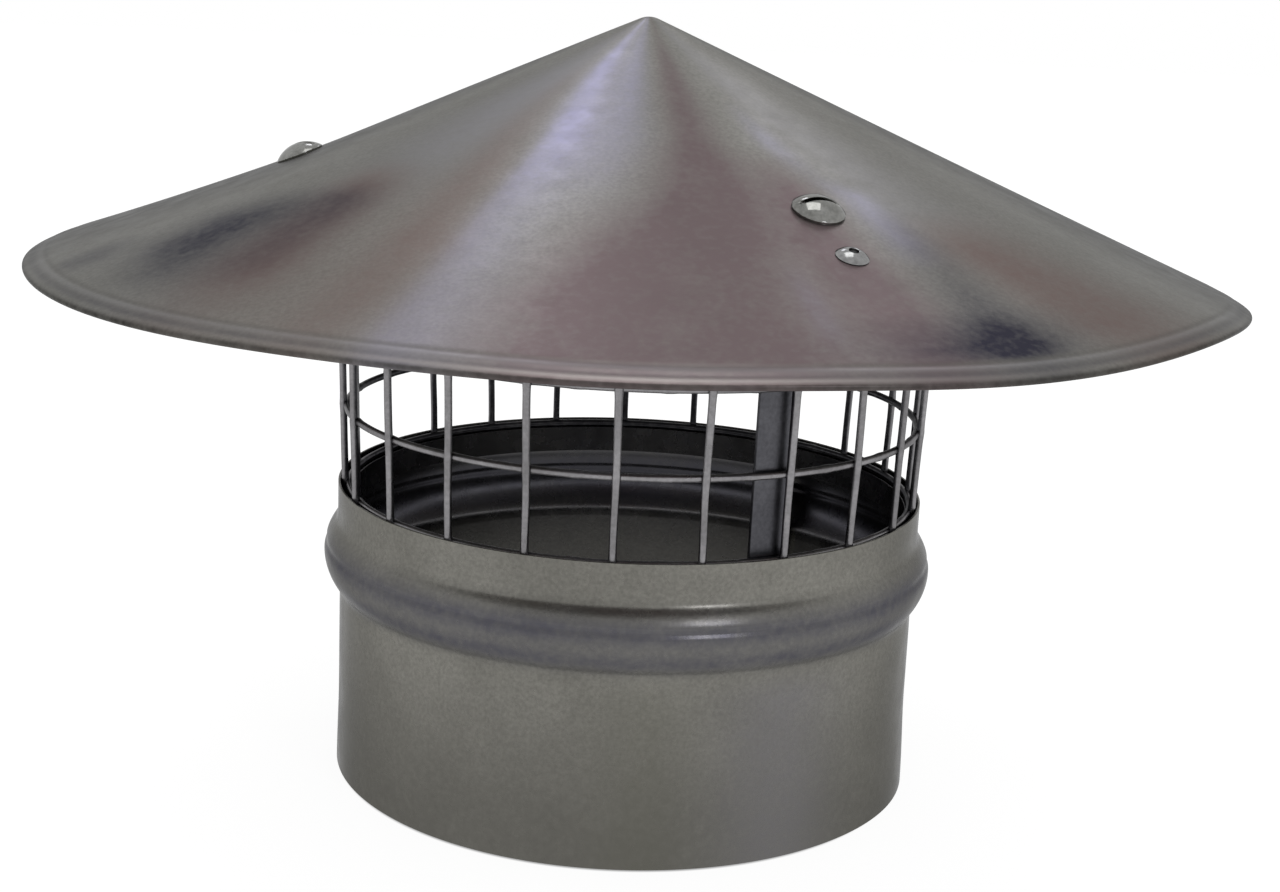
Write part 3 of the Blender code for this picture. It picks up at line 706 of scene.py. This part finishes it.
def hat_section():
    """Closed half section from the axis: underside out, round the hem's roll, upper face back in.

    The upper face is a round tip, a cone, and a shoulder whose slope grows with the third power of the
    way along it. The underside lies a sheet's thickness below, square to it.
    """
    edge = HAT_RADIUS - HEM_RADIUS * (1.0 - math.sin(SHOULDER_SLOPE))
    cone_angle = math.atan(HAT_SLOPE)
    tip_centre = HAT_TIP - TIP_ROUND / math.cos(cone_angle)
    tip_turn = np.linspace(0.0, cone_angle, 7)
    tip = np.stack([TIP_ROUND * np.sin(tip_turn), tip_centre + TIP_ROUND * np.cos(tip_turn)], axis=-1)
    cone_r = np.concatenate([
        np.linspace(TIP_ROUND * math.sin(cone_angle), 0.1650, 80)[1:], np.linspace(0.1655, SHOULDER_START, 9),
    ])
    cone = np.stack([cone_r, HAT_TIP - HAT_SLOPE * cone_r], axis=-1)
    share = np.linspace(0.0, 1.0, 31)[1:]
    width = edge - SHOULDER_START
    steeper = math.tan(SHOULDER_SLOPE) - HAT_SLOPE
    drop = width * (HAT_SLOPE * share + steeper * share**4 / 4.0)
    shoulder = np.stack([SHOULDER_START + width * share, cone[-1, 1] - drop], axis=-1)
    upper = np.concatenate([tip, cone, shoulder])
    for place, width, depth in HEM_GROOVES:
        upper[:, 1] -= depth * bell((upper[:, 0] - place) / width)
    step = np.gradient(upper, axis=0)
    step /= np.linalg.norm(step, axis=1)[:, None]
    inward = np.stack([step[:, 1], -step[:, 0]], axis=-1)
    inward[0] = (0.0, -1.0)
    under = upper + inward * SHEET
    along = np.array([math.cos(SHOULDER_SLOPE), -math.sin(SHOULDER_SLOPE)])
    down = np.array([-math.sin(SHOULDER_SLOPE), -math.cos(SHOULDER_SLOPE)])
    centre = upper[-1] + down * HEM_RADIUS
    turn = np.linspace(0.0, math.pi, 13)[1:, None]
    roll = centre - down * HEM_RADIUS * np.cos(turn) + along * HEM_RADIUS * np.sin(turn)
    hem_end = roll[-1] - along * HEM_WIDTH
    hem = np.linspace(roll[-1], hem_end, 8)[1:]
    hem_top = hem_end - down * (SHEET - HEM_OPEN)
    crease = centre + down * HEM_CREASE / 2.0
    return np.concatenate([under[:-1], [crease], [hem_top], hem[::-1], roll[::-1], upper[::-1]])


hat_azimuths = np.radians(np.arange(0.0, 360.0, 1.0))
section = hat_section()
hat_r = section[None, :, 0]
hat_z = section[None, :, 1] + hat_warp(hat_r, hat_azimuths[:, None])
hat_grid = ring_grid(hat_r, hat_z, hat_azimuths)
hat_zinc = zinc_material(
    "hat_zinc", dull=(0.200, 0.196, 0.180), clear=(0.222, 0.218, 0.203), cloud_size=22.0,
    roughness=0.36, relief=0.000015, edge=0.55, rim_shade=0.12,
)
hat = add_piece("spun_hat", [(hat_grid, True, False)], hat_zinc, 50.0)
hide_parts("hat")

# Painted reflections on the hat: long light and dark patches that run out from the tip where lamps and the room
# would be mirrored down the cone; the lavender ones are painted highlights, and the mauve and brown ones are partly
# the zinc's own tone. Each colour has its patches, and a patch has the widths of its soft sides, in degrees before
# and after its middle line, and that line as points of (radius in mm, azimuth in degrees, strength).
HAT_REFLECTIONS = {
    "pale_reflection": ((0.240, 0.236, 0.244), (
        (6.0, 12.0, ((10, -60, 0.4), (60, -54, 0.5), (85, -51, 0.5), (110, -50, 0.4), (130, -48, 0.0))),
        (12.0, 12.0, ((10, -128, 0.6), (60, -131, 1.0), (85, -131, 0.8), (105, -130, 0.3), (120, -128, 0.0))),
        (15.0, 12.0, ((10, 60, 0.6), (80, 66, 1.0), (140, 70, 0.0))),
        (10.0, 16.0, ((10, 130, 0.5), (70, 128, 0.9), (150, 124, 0.2))),
    )),
    "lavender_highlight": ((0.290, 0.283, 0.378), (
        (5.0, 6.0, ((8, -113, 0.5), (35, -111, 0.9), (60, -108, 0.8), (75, -106, 0.45), (100, -104, 0.0))),
        (2.0, 6.5, ((55, -110, 0.0), (75, -109.0, 0.5), (112, -109.5, 0.45), (140, -109, 0.35), (176, -109, 0.40))),
        (8.0, 6.0, ((8, -97, 0.35), (40, -96, 0.5), (70, -95, 0.4), (100, -97, 0.1), (120, -98, 0.0))),
        (3.0, 3.0, (
            (50, -63, 0.0), (72, -62, 0.35), (90, -60, 0.1), (100, -56, 0.4), (122, -56, 0.4), (135, -57, 0.0),
        )),
        (1.3, 1.3, ((130, -73.5, 0.0), (145, -73.5, 0.45), (160, -73.5, 0.35), (170, -74, 0.0))),
        (6.0, 4.0, ((10, 84, 0.7), (60, 88, 0.8), (110, 84, 0.4), (175, 82, 0.3))),
        (4.0, 6.0, ((30, 146, 0.2), (90, 148, 0.6), (150, 150, 0.3))),
        (3.0, 5.0, ((20, 12, 0.2), (90, 16, 0.5), (150, 14, 0.2))),
    )),
    "mauve_reflection_and_tone": ((0.150, 0.117, 0.120), (
        (6.0, 6.0, ((14, -79, 0.3), (30, -79, 0.7), (85, -79, 0.9), (110, -80, 0.8), (130, -81, 0.0))),
        (10.0, 9.0, ((70, -81, 0.0), (100, -80, 0.8), (125, -80, 0.9), (178, -80, 1.0))),
        (9.0, 7.0, ((100, -89, 0.0), (125, -91, 0.7), (150, -94, 1.0), (176, -95, 1.0))),
        (5.0, 5.0, (
            (75, -67, 0.0), (95, -66, 0.8), (120, -67, 1.0), (135, -66, 1.0), (158, -66, 1.0), (176, -66, 0.9),
        )),
        (9.0, 9.0, ((40, 104, 0.2), (110, 108, 0.9), (176, 108, 0.8))),
        (7.0, 9.0, ((60, 40, 0.1), (120, 38, 0.8), (176, 36, 0.5))),
    )),
    "brown_reflection_and_tone": ((0.172, 0.128, 0.118), (
        (5.0, 5.0, ((25, -122, 0.0), (50, -121, 0.25), (90, -117, 0.5), (130, -115, 0.7), (175, -115, 0.5))),
        (6.0, 7.0, ((92, -134, 0.0), (108, -133, 0.9), (150, -130, 1.0), (172, -128, 0.4))),
        (6.0, 10.0, ((108, -48, 0.0), (128, -47, 0.8), (165, -44, 0.9), (176, -43, 0.6))),
        (8.0, 8.0, ((80, 166, 0.0), (130, 168, 0.8), (170, 170, 0.4))),
    )),
    "navy_reflection": ((0.032, 0.031, 0.046), (
        (7.0, 6.0, (
            (108, -137, 0.0), (120, -140, 0.5), (135, -143, 1.0), (152, -142, 0.9), (165, -140, 0.4), (174, -140, 0.1),
        )),
        (5.0, 5.0, ((102, -133, 0.0), (115, -132, 0.5), (150, -131, 0.35), (165, -131, 0.1))),
        (3.0, 3.0, ((150, -154, 0.0), (164, -153, 0.6), (172, -153, 0.4), (176, -153, 0.0))),
        (4.0, 4.0, ((105, -55, 0.0), (125, -55, 0.35), (150, -56, 0.45), (165, -57, 0.3))),
        (11.0, 7.0, ((152, -56, 0.0), (162, -57, 0.55), (169, -58, 0.85), (173, -58, 0.6), (175, -57, 0.1))),
        (6.0, 6.0, ((120, 52, 0.0), (150, 54, 0.6), (172, 56, 0.2))),
        (5.0, 5.0, ((110, 124, 0.0), (140, 126, 0.6), (165, 128, 0.1))),
    )),
}


def reflection_mask(piece, patches):
    """Sum of soft bands: strength(radius) exp(-(turn off the middle line / width of that side)^2)."""
    azimuth, radius = points_of(piece)[:2]
    reach = radius * 1000.0
    total = np.zeros(radius.shape)
    for before, after, line in patches:
        places, middles, strengths = np.array(line).T
        off = np.degrees(turn_away(azimuth, np.radians(np.interp(reach, places, middles))))
        width = np.where(off < 0.0, before, after)
        total += np.interp(reach, places, strengths) * bell(off / width)
    return np.clip(total, 0.0, 1.0)


for mask, (colour, patches) in HAT_REFLECTIONS.items():
    set_mask(hat, mask, reflection_mask(hat, patches))
    tint(hat_zinc, mask, colour)

# Painted light on the hem's bend: dark and pale rings of painted shade and reflection, a greyer band of painted
# shade, a painted highlight in front and a dark edge of painted shade, each a colour, the radius and width of a
# soft band, its strength, and what is added to that in front.
HEM_PAINTED_LIGHT = {
    "hem_inner_shade": ((0.110, 0.106, 0.100), 0.1748, 0.0008, 0.45, 0.0),
    "hem_pale_reflection": ((0.250, 0.245, 0.252), 0.1764, 0.0010, 0.40, 0.0),
    "hem_grey_shade": ((0.105, 0.102, 0.107), 0.1784, 0.0013, 0.60, -0.25),
    "hem_painted_highlight": ((0.290, 0.270, 0.260), 0.1798, 0.0007, 0.0, 0.65),
    "hem_edge_shade": ((0.035, 0.033, 0.030), 0.1816, 0.0009, 0.95, -0.15),
}
HEM_FRONT = (-88.0, 26.0)
hat_azimuth, hat_point_r = points_of(hat)[:2]
hat_front = bell(np.degrees(turn_away(hat_azimuth, math.radians(HEM_FRONT[0]))) / HEM_FRONT[1])
for mask, (colour, place, width, strength, in_front) in HEM_PAINTED_LIGHT.items():
    set_mask(hat, mask, (strength + in_front * hat_front) * bell((hat_point_r - place) / width))
    tint(hat_zinc, mask, colour)

# Bolts and nuts
# M6 roofing bolts of bright zinc: a mushroom head with a driving slot, pulled down on the hat, and a
# chamfered hexagon nut under the leg.
BOLT_SHANK = 0.0060
BOLT_HEAD_RADIUS = 0.0072
BOLT_HEAD_HEIGHT = 0.0037
BOLT_RIM = 0.0006
BOLT_RIM_IN = 0.00012
CAP_SHARE = 0.94
SLOT_END = 0.985
HEAD_LIFT = 0.2 * GAP
BOLT_END = 0.0030
SLOT_WIDTH = 0.0016
SLOT_DEPTH = 0.0018
SLOT_TURNS = np.radians([-8.0, 35.0, 70.0])
THREAD_PITCH = 0.0010
THREAD_DEPTH = 0.0004
THREAD_SIDES = 36
THREAD_STEP = 0.00014
POINT_LENGTH = 0.0006
NUT_ACROSS = 0.0100
NUT_HEIGHT = 0.0050
NUT_FACE = 0.985
NUT_CONE = 1.7
CLAMPED = SHEET + STRAP + 2.0 * GAP


def seat_frame(radius, azimuth):
    """Frame of a fixing on the hat: origin, outward, sideways and square to the sheet."""
    step = 0.0005
    rise = (hat_height(radius + step, azimuth) - hat_height(radius - step, azimuth)) / (2.0 * step)
    outward = np.array([math.cos(azimuth), math.sin(azimuth), rise])
    outward /= np.linalg.norm(outward)
    sideways = np.array([-math.sin(azimuth), math.cos(azimuth), 0.0])
    normal = np.cross(outward, sideways)
    origin = np.array([radius * math.cos(azimuth), radius * math.sin(azimuth), hat_height(radius, azimuth)])
    return origin, outward, sideways, normal


def seated(grid, seat):
    """Moves a grid from a fixing's own axes to its place on the hat."""
    origin, outward, sideways, normal = seat
    return origin + grid[..., :1] * outward + grid[..., 1:2] * sideways + grid[..., 2:] * normal


def cap_drop(radius, widest, rise):
    """Fall of a ball's cap from its top: b - sqrt(b^2 - r^2), b the ball's radius for that width and rise."""
    ball = (widest**2 + rise**2) / (2.0 * rise)
    return ball - np.sqrt(ball**2 - radius**2)


def bolt_head(slot_turn):
    """Mushroom head with its slot, over a disc cut into chords that run along the slot.

    A point is (x, v sqrt(1 - x^2)) on the unit disc. Its distance from the middle gives the place on the
    head's line: a ball's cap up to CAP_SHARE, then the rim. The slot takes depth from the cap where |x|
    is under half the slot's width.
    """
    half = SLOT_WIDTH / 2.0 / (BOLT_HEAD_RADIUS / CAP_SHARE)
    edge = 0.12 * half
    inside = np.concatenate([[0.0, half * 0.55], np.linspace(half - edge, half + edge, 6)])
    outside = np.sin(np.linspace(math.asin(half * 1.6), math.pi / 2.0, 26))
    one_side = np.concatenate([inside, outside])
    x = np.concatenate([-one_side[:0:-1], one_side])[:, None]
    v = np.sin(np.linspace(-math.pi / 2.0, math.pi / 2.0, 49))[None, :]
    y = v * np.sqrt(1.0 - x**2)
    far = np.hypot(x, y)
    cap_r = np.clip(far / CAP_SHARE, 0.0, 1.0) * BOLT_HEAD_RADIUS
    cap_z = BOLT_HEAD_HEIGHT - cap_drop(cap_r, BOLT_HEAD_RADIUS, BOLT_HEAD_HEIGHT - BOLT_RIM)
    rim = np.clip((far - CAP_SHARE) / (1.0 - CAP_SHARE), 0.0, 1.0)
    reach = cap_r - BOLT_RIM_IN * rim
    height = cap_z - BOLT_RIM * rim
    slot = 1.0 - ease((np.abs(x) - half + edge) / (2.0 * edge))
    slot = slot * (1.0 - ease((far - SLOT_END) / (1.0 - SLOT_END)))
    floor = BOLT_HEAD_HEIGHT - SLOT_DEPTH - 0.1 * (BOLT_HEAD_HEIGHT - cap_z)
    height = np.where(height > floor, height + (floor - height) * slot, height)
    scale = np.where(far > 1e-9, reach / np.maximum(far, 1e-9), BOLT_HEAD_RADIUS / CAP_SHARE)
    top = np.stack([x * scale, y * scale, height + HEAD_LIFT], axis=-1)
    bottom = np.stack([x * scale, y * scale, np.full(height.shape, HEAD_LIFT)], axis=-1)
    cos = math.cos(slot_turn)
    sin = math.sin(slot_turn)
    turn = np.array([[cos, sin, 0.0], [-sin, cos, 0.0], [0.0, 0.0, 1.0]])
    return top @ turn, (bottom @ turn)[::-1]


def threaded_end(low, high):
    """Shank with a helical thread: radius falls by the thread's depth times a wave in height + pitch turn."""
    turn = np.linspace(0.0, 2.0 * np.pi, THREAD_SIDES, endpoint=False)[:, None]
    height = np.linspace(low, high, int((high - low) / THREAD_STEP))[None, :]
    phase = height / THREAD_PITCH + turn / (2.0 * np.pi)
    wave = np.abs(2.0 * (phase - np.floor(phase)) - 1.0)
    point = 1.0 - ease((height - low) / POINT_LENGTH)
    radius = BOLT_SHANK / 2.0 - THREAD_DEPTH * wave - THREAD_DEPTH * point
    height = np.concatenate([[[low]], height, [[high]]], axis=1)
    return ring_grid(np.pad(radius, ((0, 0), (1, 1))), height, turn[:, 0])


def hexagon_nut():
    """Nut over azimuth and an outline: a hexagon's radius, held back by a cone at both faces."""
    turn = np.radians(np.arange(0.0, 360.0, 3.0))
    away = np.mod(turn[:, None], math.pi / 3.0) - math.pi / 6.0
    hexagon = NUT_ACROSS / 2.0 / np.cos(away)
    chamfer = np.array([0.0, 0.00012, 0.0003, 0.0005, 0.0008])
    depth = np.concatenate([chamfer, [NUT_HEIGHT / 2.0], NUT_HEIGHT - chamfer[::-1]])[None, :]
    face = np.minimum(depth, NUT_HEIGHT - depth)
    outer = np.minimum(hexagon, NUT_ACROSS / 2.0 * NUT_FACE + face * NUT_CONE)
    radius = np.pad(outer, ((0, 0), (1, 1)), constant_values=BOLT_SHANK / 2.0)
    height = -CLAMPED - np.concatenate([[0.0], depth[0], [NUT_HEIGHT]])
    return ring_grid(radius, height[None, :], turn)[:, ::-1]


bright_zinc = zinc_material(
    "bright_zinc", dull=(0.17, 0.17, 0.16), clear=(0.25, 0.25, 0.24), cloud_size=160.0,
    roughness=0.12, relief=0.00001, edge=0.8,
)
for name, azimuth, bolt_place, slot_turn in zip(LEG_NAMES, LEG_AZIMUTHS, BOLT_PLACES, SLOT_TURNS):
    seat = seat_frame(bolt_place, azimuth)
    top, bottom = bolt_head(slot_turn)
    shank = threaded_end(-(CLAMPED + NUT_HEIGHT + BOLT_END), GAP)
    bolt = add_piece(
        f"mushroom_bolt_{name}",
        [(seated(top, seat), False, False), (seated(bottom, seat), False, False), (seated(shank, seat), True, False)],
        bright_zinc,
        35.0,
    )
    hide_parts(f"bolt_{name}")
    nut = add_piece(
        f"hexagon_nut_{name}",
        [(seated(hexagon_nut(), seat), True, True)],
        bright_zinc,
        30.0,
    )
    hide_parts(f"nut_{name}")

# Rivet
# One blind rivet of aluminium alloy, 4.8 mm, outside the front bolt: a low domed head with the
# mandrel's dished hole, and the bulb that setting makes under the leg.
RIVET_PLACE = 0.12785
RIVET_SHANK = 0.0048
RIVET_HEAD_RADIUS = 0.0044
RIVET_HEAD_HEIGHT = 0.0019
RIVET_FOOT = 0.0002
RIVET_SIDES = 48
RIVET_BULB_RADIUS = 0.0036
RIVET_BULB_HEIGHT = 0.0040
MANDREL_RADIUS = 0.0013
MANDREL_DISH = 0.0010


def rivet_outline():
    """Outline from the bulb's end up to the head, over its cap and down into the mandrel's dish."""
    turn = np.linspace(0.0, math.pi / 2.0, 7)
    bulb_low = -CLAMPED - RIVET_BULB_HEIGHT
    bulb = np.stack([
        RIVET_BULB_RADIUS * np.sin(turn),
        bulb_low + RIVET_BULB_HEIGHT * 0.5 * (1.0 - np.cos(turn)),
    ], axis=-1)
    neck = [[RIVET_BULB_RADIUS, -CLAMPED - 0.0003], [RIVET_SHANK / 2.0, -CLAMPED], [RIVET_SHANK / 2.0, GAP]]
    radius = np.linspace(RIVET_HEAD_RADIUS, MANDREL_RADIUS + 0.0002, 16)
    drop = cap_drop(radius, RIVET_HEAD_RADIUS, RIVET_HEAD_HEIGHT)
    cap = np.stack([radius, RIVET_HEAD_HEIGHT - drop + RIVET_FOOT], axis=-1)
    foot = [[RIVET_HEAD_RADIUS - 0.0001, HEAD_LIFT], [RIVET_HEAD_RADIUS, RIVET_FOOT]]
    lip = cap[-1, 1]
    dish = [
        [MANDREL_RADIUS + 0.00005, lip - 0.00008],
        [MANDREL_RADIUS, lip - 0.00025],
        [MANDREL_RADIUS * 0.98, lip - MANDREL_DISH],
        [MANDREL_RADIUS * 0.6, lip - MANDREL_DISH * 0.96],
        [0.0, lip - MANDREL_DISH * 0.9],
    ]
    return np.concatenate([bulb, neck, foot, cap[1:], dish])


rivet_alloy = zinc_material(
    "rivet_alloy", dull=(0.19, 0.19, 0.19), clear=(0.27, 0.27, 0.27), cloud_size=200.0,
    roughness=0.14, relief=0.00001, edge=0.8,
)
outline = rivet_outline()[None]
turn = np.linspace(0.0, 2.0 * np.pi, RIVET_SIDES, endpoint=False)
seat = seat_frame(RIVET_PLACE, LEG_AZIMUTHS[0] + flange_turn(RIVET_PLACE, BOLT_PLACES[0]))
rivet = add_piece(
    "blind_rivet",
    [(seated(ring_grid(outline[..., 0], outline[..., 1], turn), seat), True, False)],
    rivet_alloy,
)
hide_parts("rivet_front")

# Studio
# A wide pale floor that keeps the cap's shadow, a white surround, and soft lamps: a key in front on the
# right, two behind whose reflections run down the cone, and a wide one overhead.
WHITE = (1.0, 1.0, 1.0)
GREY = (0.62, 0.62, 0.62)
FLOOR_DROP = 0.0004
FLOOR_RINGS = (0.0, 0.3, 6.0)
FLOOR_FAINT = (0.22, 0.22, 0.22, 1.0)
# Glow of the floor inside the collar and outside it; the lower one inside is painted shade
FLOOR_GLOW = (0.40, 0.91)
SKY_FADE = (1.0, 0.92)
AIM_HEIGHT = 0.12


def seen_rays(nodes, links):
    """Two masks: 1 for rays of the camera alone, and 1 for those, reflections and transmission."""
    path = nodes.new("ShaderNodeLightPath")
    first = nodes.new("ShaderNodeMath")
    first.operation = "MAXIMUM"
    links.new(path.outputs["Is Camera Ray"], first.inputs[0])
    links.new(path.outputs["Is Glossy Ray"], first.inputs[1])
    second = nodes.new("ShaderNodeMath")
    second.operation = "MAXIMUM"
    links.new(first.outputs["Value"], second.inputs[0])
    links.new(path.outputs["Is Transmission Ray"], second.inputs[1])
    return path.outputs["Is Camera Ray"], second.outputs["Value"]


def make_floor():
    """Flat rings just under the collar's foot: white, dimmed inside the collar as painted shade, and clear from below.
    """
    turn = np.radians(np.arange(0.0, 360.0, 5.0))
    grid = ring_grid(np.array([FLOOR_RINGS]), np.array([[-FLOOR_DROP]]), turn)
    mesh = bpy.data.meshes.new("floor")
    faces = grid_faces(*grid.shape[:2], True, False)[:, ::-1]
    mesh.from_pydata(grid.reshape(-1, 3).tolist(), [], faces.tolist())
    material = bpy.data.materials.new("floor_white")
    material.use_nodes = True
    nodes = material.node_tree.nodes
    links = material.node_tree.links
    nodes.clear()
    output = nodes.new("ShaderNodeOutputMaterial")
    matt = nodes.new("ShaderNodeBsdfDiffuse")
    matt.inputs["Color"].default_value = (*GREY, 1.0)
    faint = nodes.new("ShaderNodeBsdfDiffuse")
    faint.inputs["Color"].default_value = FLOOR_FAINT
    glow = nodes.new("ShaderNodeEmission")
    place = nodes.new("ShaderNodeTexCoord")
    far = nodes.new("ShaderNodeVectorMath")
    far.operation = "LENGTH"
    links.new(place.outputs["Object"], far.inputs[0])
    near_wall = (COLLAR_RADIUS - 0.0005, COLLAR_RADIUS + 0.0005)
    open_floor = ramp_value(nodes, links, far.outputs["Value"], *near_wall, *FLOOR_GLOW)
    links.new(open_floor, glow.inputs["Strength"])
    both = nodes.new("ShaderNodeAddShader")
    links.new(faint.outputs["BSDF"], both.inputs[0])
    links.new(glow.outputs["Emission"], both.inputs[1])
    mix = nodes.new("ShaderNodeMixShader")
    links.new(seen_rays(nodes, links)[1], mix.inputs["Fac"])
    links.new(matt.outputs["BSDF"], mix.inputs[1])
    links.new(both.outputs["Shader"], mix.inputs[2])
    side = nodes.new("ShaderNodeNewGeometry")
    clear = nodes.new("ShaderNodeBsdfTransparent")
    one_sided = nodes.new("ShaderNodeMixShader")
    links.new(side.outputs["Backfacing"], one_sided.inputs["Fac"])
    links.new(mix.outputs["Shader"], one_sided.inputs[1])
    links.new(clear.outputs["BSDF"], one_sided.inputs[2])
    links.new(one_sided.outputs["Shader"], output.inputs["Surface"])
    mesh.materials.append(material)
    floor = bpy.data.objects.new("floor", mesh)
    bpy.context.scene.collection.objects.link(floor)


def make_surround():
    """World: white to the camera, to metal a little dimmer overhead than at the horizon, grey to the rest."""
    world = bpy.data.worlds.new("surround")
    bpy.context.scene.world = world
    world.use_nodes = True
    nodes = world.node_tree.nodes
    links = world.node_tree.links
    background = nodes["Background"]
    place = nodes.new("ShaderNodeTexCoord")
    split = nodes.new("ShaderNodeSeparateXYZ")
    links.new(place.outputs["Generated"], split.inputs[0])
    fade = ramp_value(nodes, links, split.outputs["Z"], 0.05, 0.9, *SKY_FADE)
    camera_ray, seen = seen_rays(nodes, links)
    soft = mix_colour(nodes, links, seen, GREY, fade)
    links.new(mix_colour(nodes, links, camera_ray, soft, WHITE), background.inputs["Color"])
    background.inputs["Strength"].default_value = 1.0


def add_lamp(name, azimuth, elevation, distance, size, radiance, colour):
    """Square soft lamp that looks at the cap; its power is pi times area times radiance."""
    data = bpy.data.lights.new(name, "AREA")
    data.shape = "SQUARE"
    data.size = size
    data.energy = math.pi * size**2 * radiance
    data.color = colour
    lamp = bpy.data.objects.new(name, data)
    turn = math.radians(azimuth)
    rise = math.radians(elevation)
    away = Vector((math.cos(rise) * math.cos(turn), math.cos(rise) * math.sin(turn), math.sin(rise)))
    lamp.location = Vector((0.0, 0.0, AIM_HEIGHT)) + away * distance
    lamp.rotation_euler = away.to_track_quat("Z", "Y").to_euler()
    bpy.context.scene.collection.objects.link(lamp)


make_floor()
make_surround()
add_lamp("key_front_right", -58.0, 25.0, 1.6, 0.30, 6.0, (0.93, 0.93, 1.0))
add_lamp("back_left", 103.0, 50.0, 1.8, 0.25, 4.4, (0.92, 0.92, 1.0))
add_lamp("back_right", 70.0, 42.0, 1.8, 0.25, 3.4, (0.95, 0.95, 1.0))
add_lamp("overhead", 0.0, 89.0, 2.2, 1.10, 2.1, WHITE)

# Camera
# The photograph's own viewpoint, found from the round edges of collar and hat: a little higher than the
# hat's tip, looking slightly down, with the slight roll that the photograph has.
CAMERA_PLACE = (0.002736, -0.613379, 0.247255)
CAMERA_TILT = math.radians(76.639)
CAMERA_ROLL = math.radians(2.502)
CAMERA_LENS = 56.55

camera_data = bpy.data.cameras.new("camera")
camera_data.sensor_width = 36.0
camera_data.lens = CAMERA_LENS
camera = bpy.data.objects.new("camera", camera_data)
tilt = Matrix.Rotation(CAMERA_TILT, 4, "X")
roll = Matrix.Rotation(CAMERA_ROLL, 4, "Z")
camera.matrix_world = Matrix.Translation(CAMERA_PLACE) @ tilt @ roll
bpy.context.scene.collection.objects.link(camera)
bpy.context.scene.camera = camera
bpy.context.scene.view_settings.view_transform = "Standard"
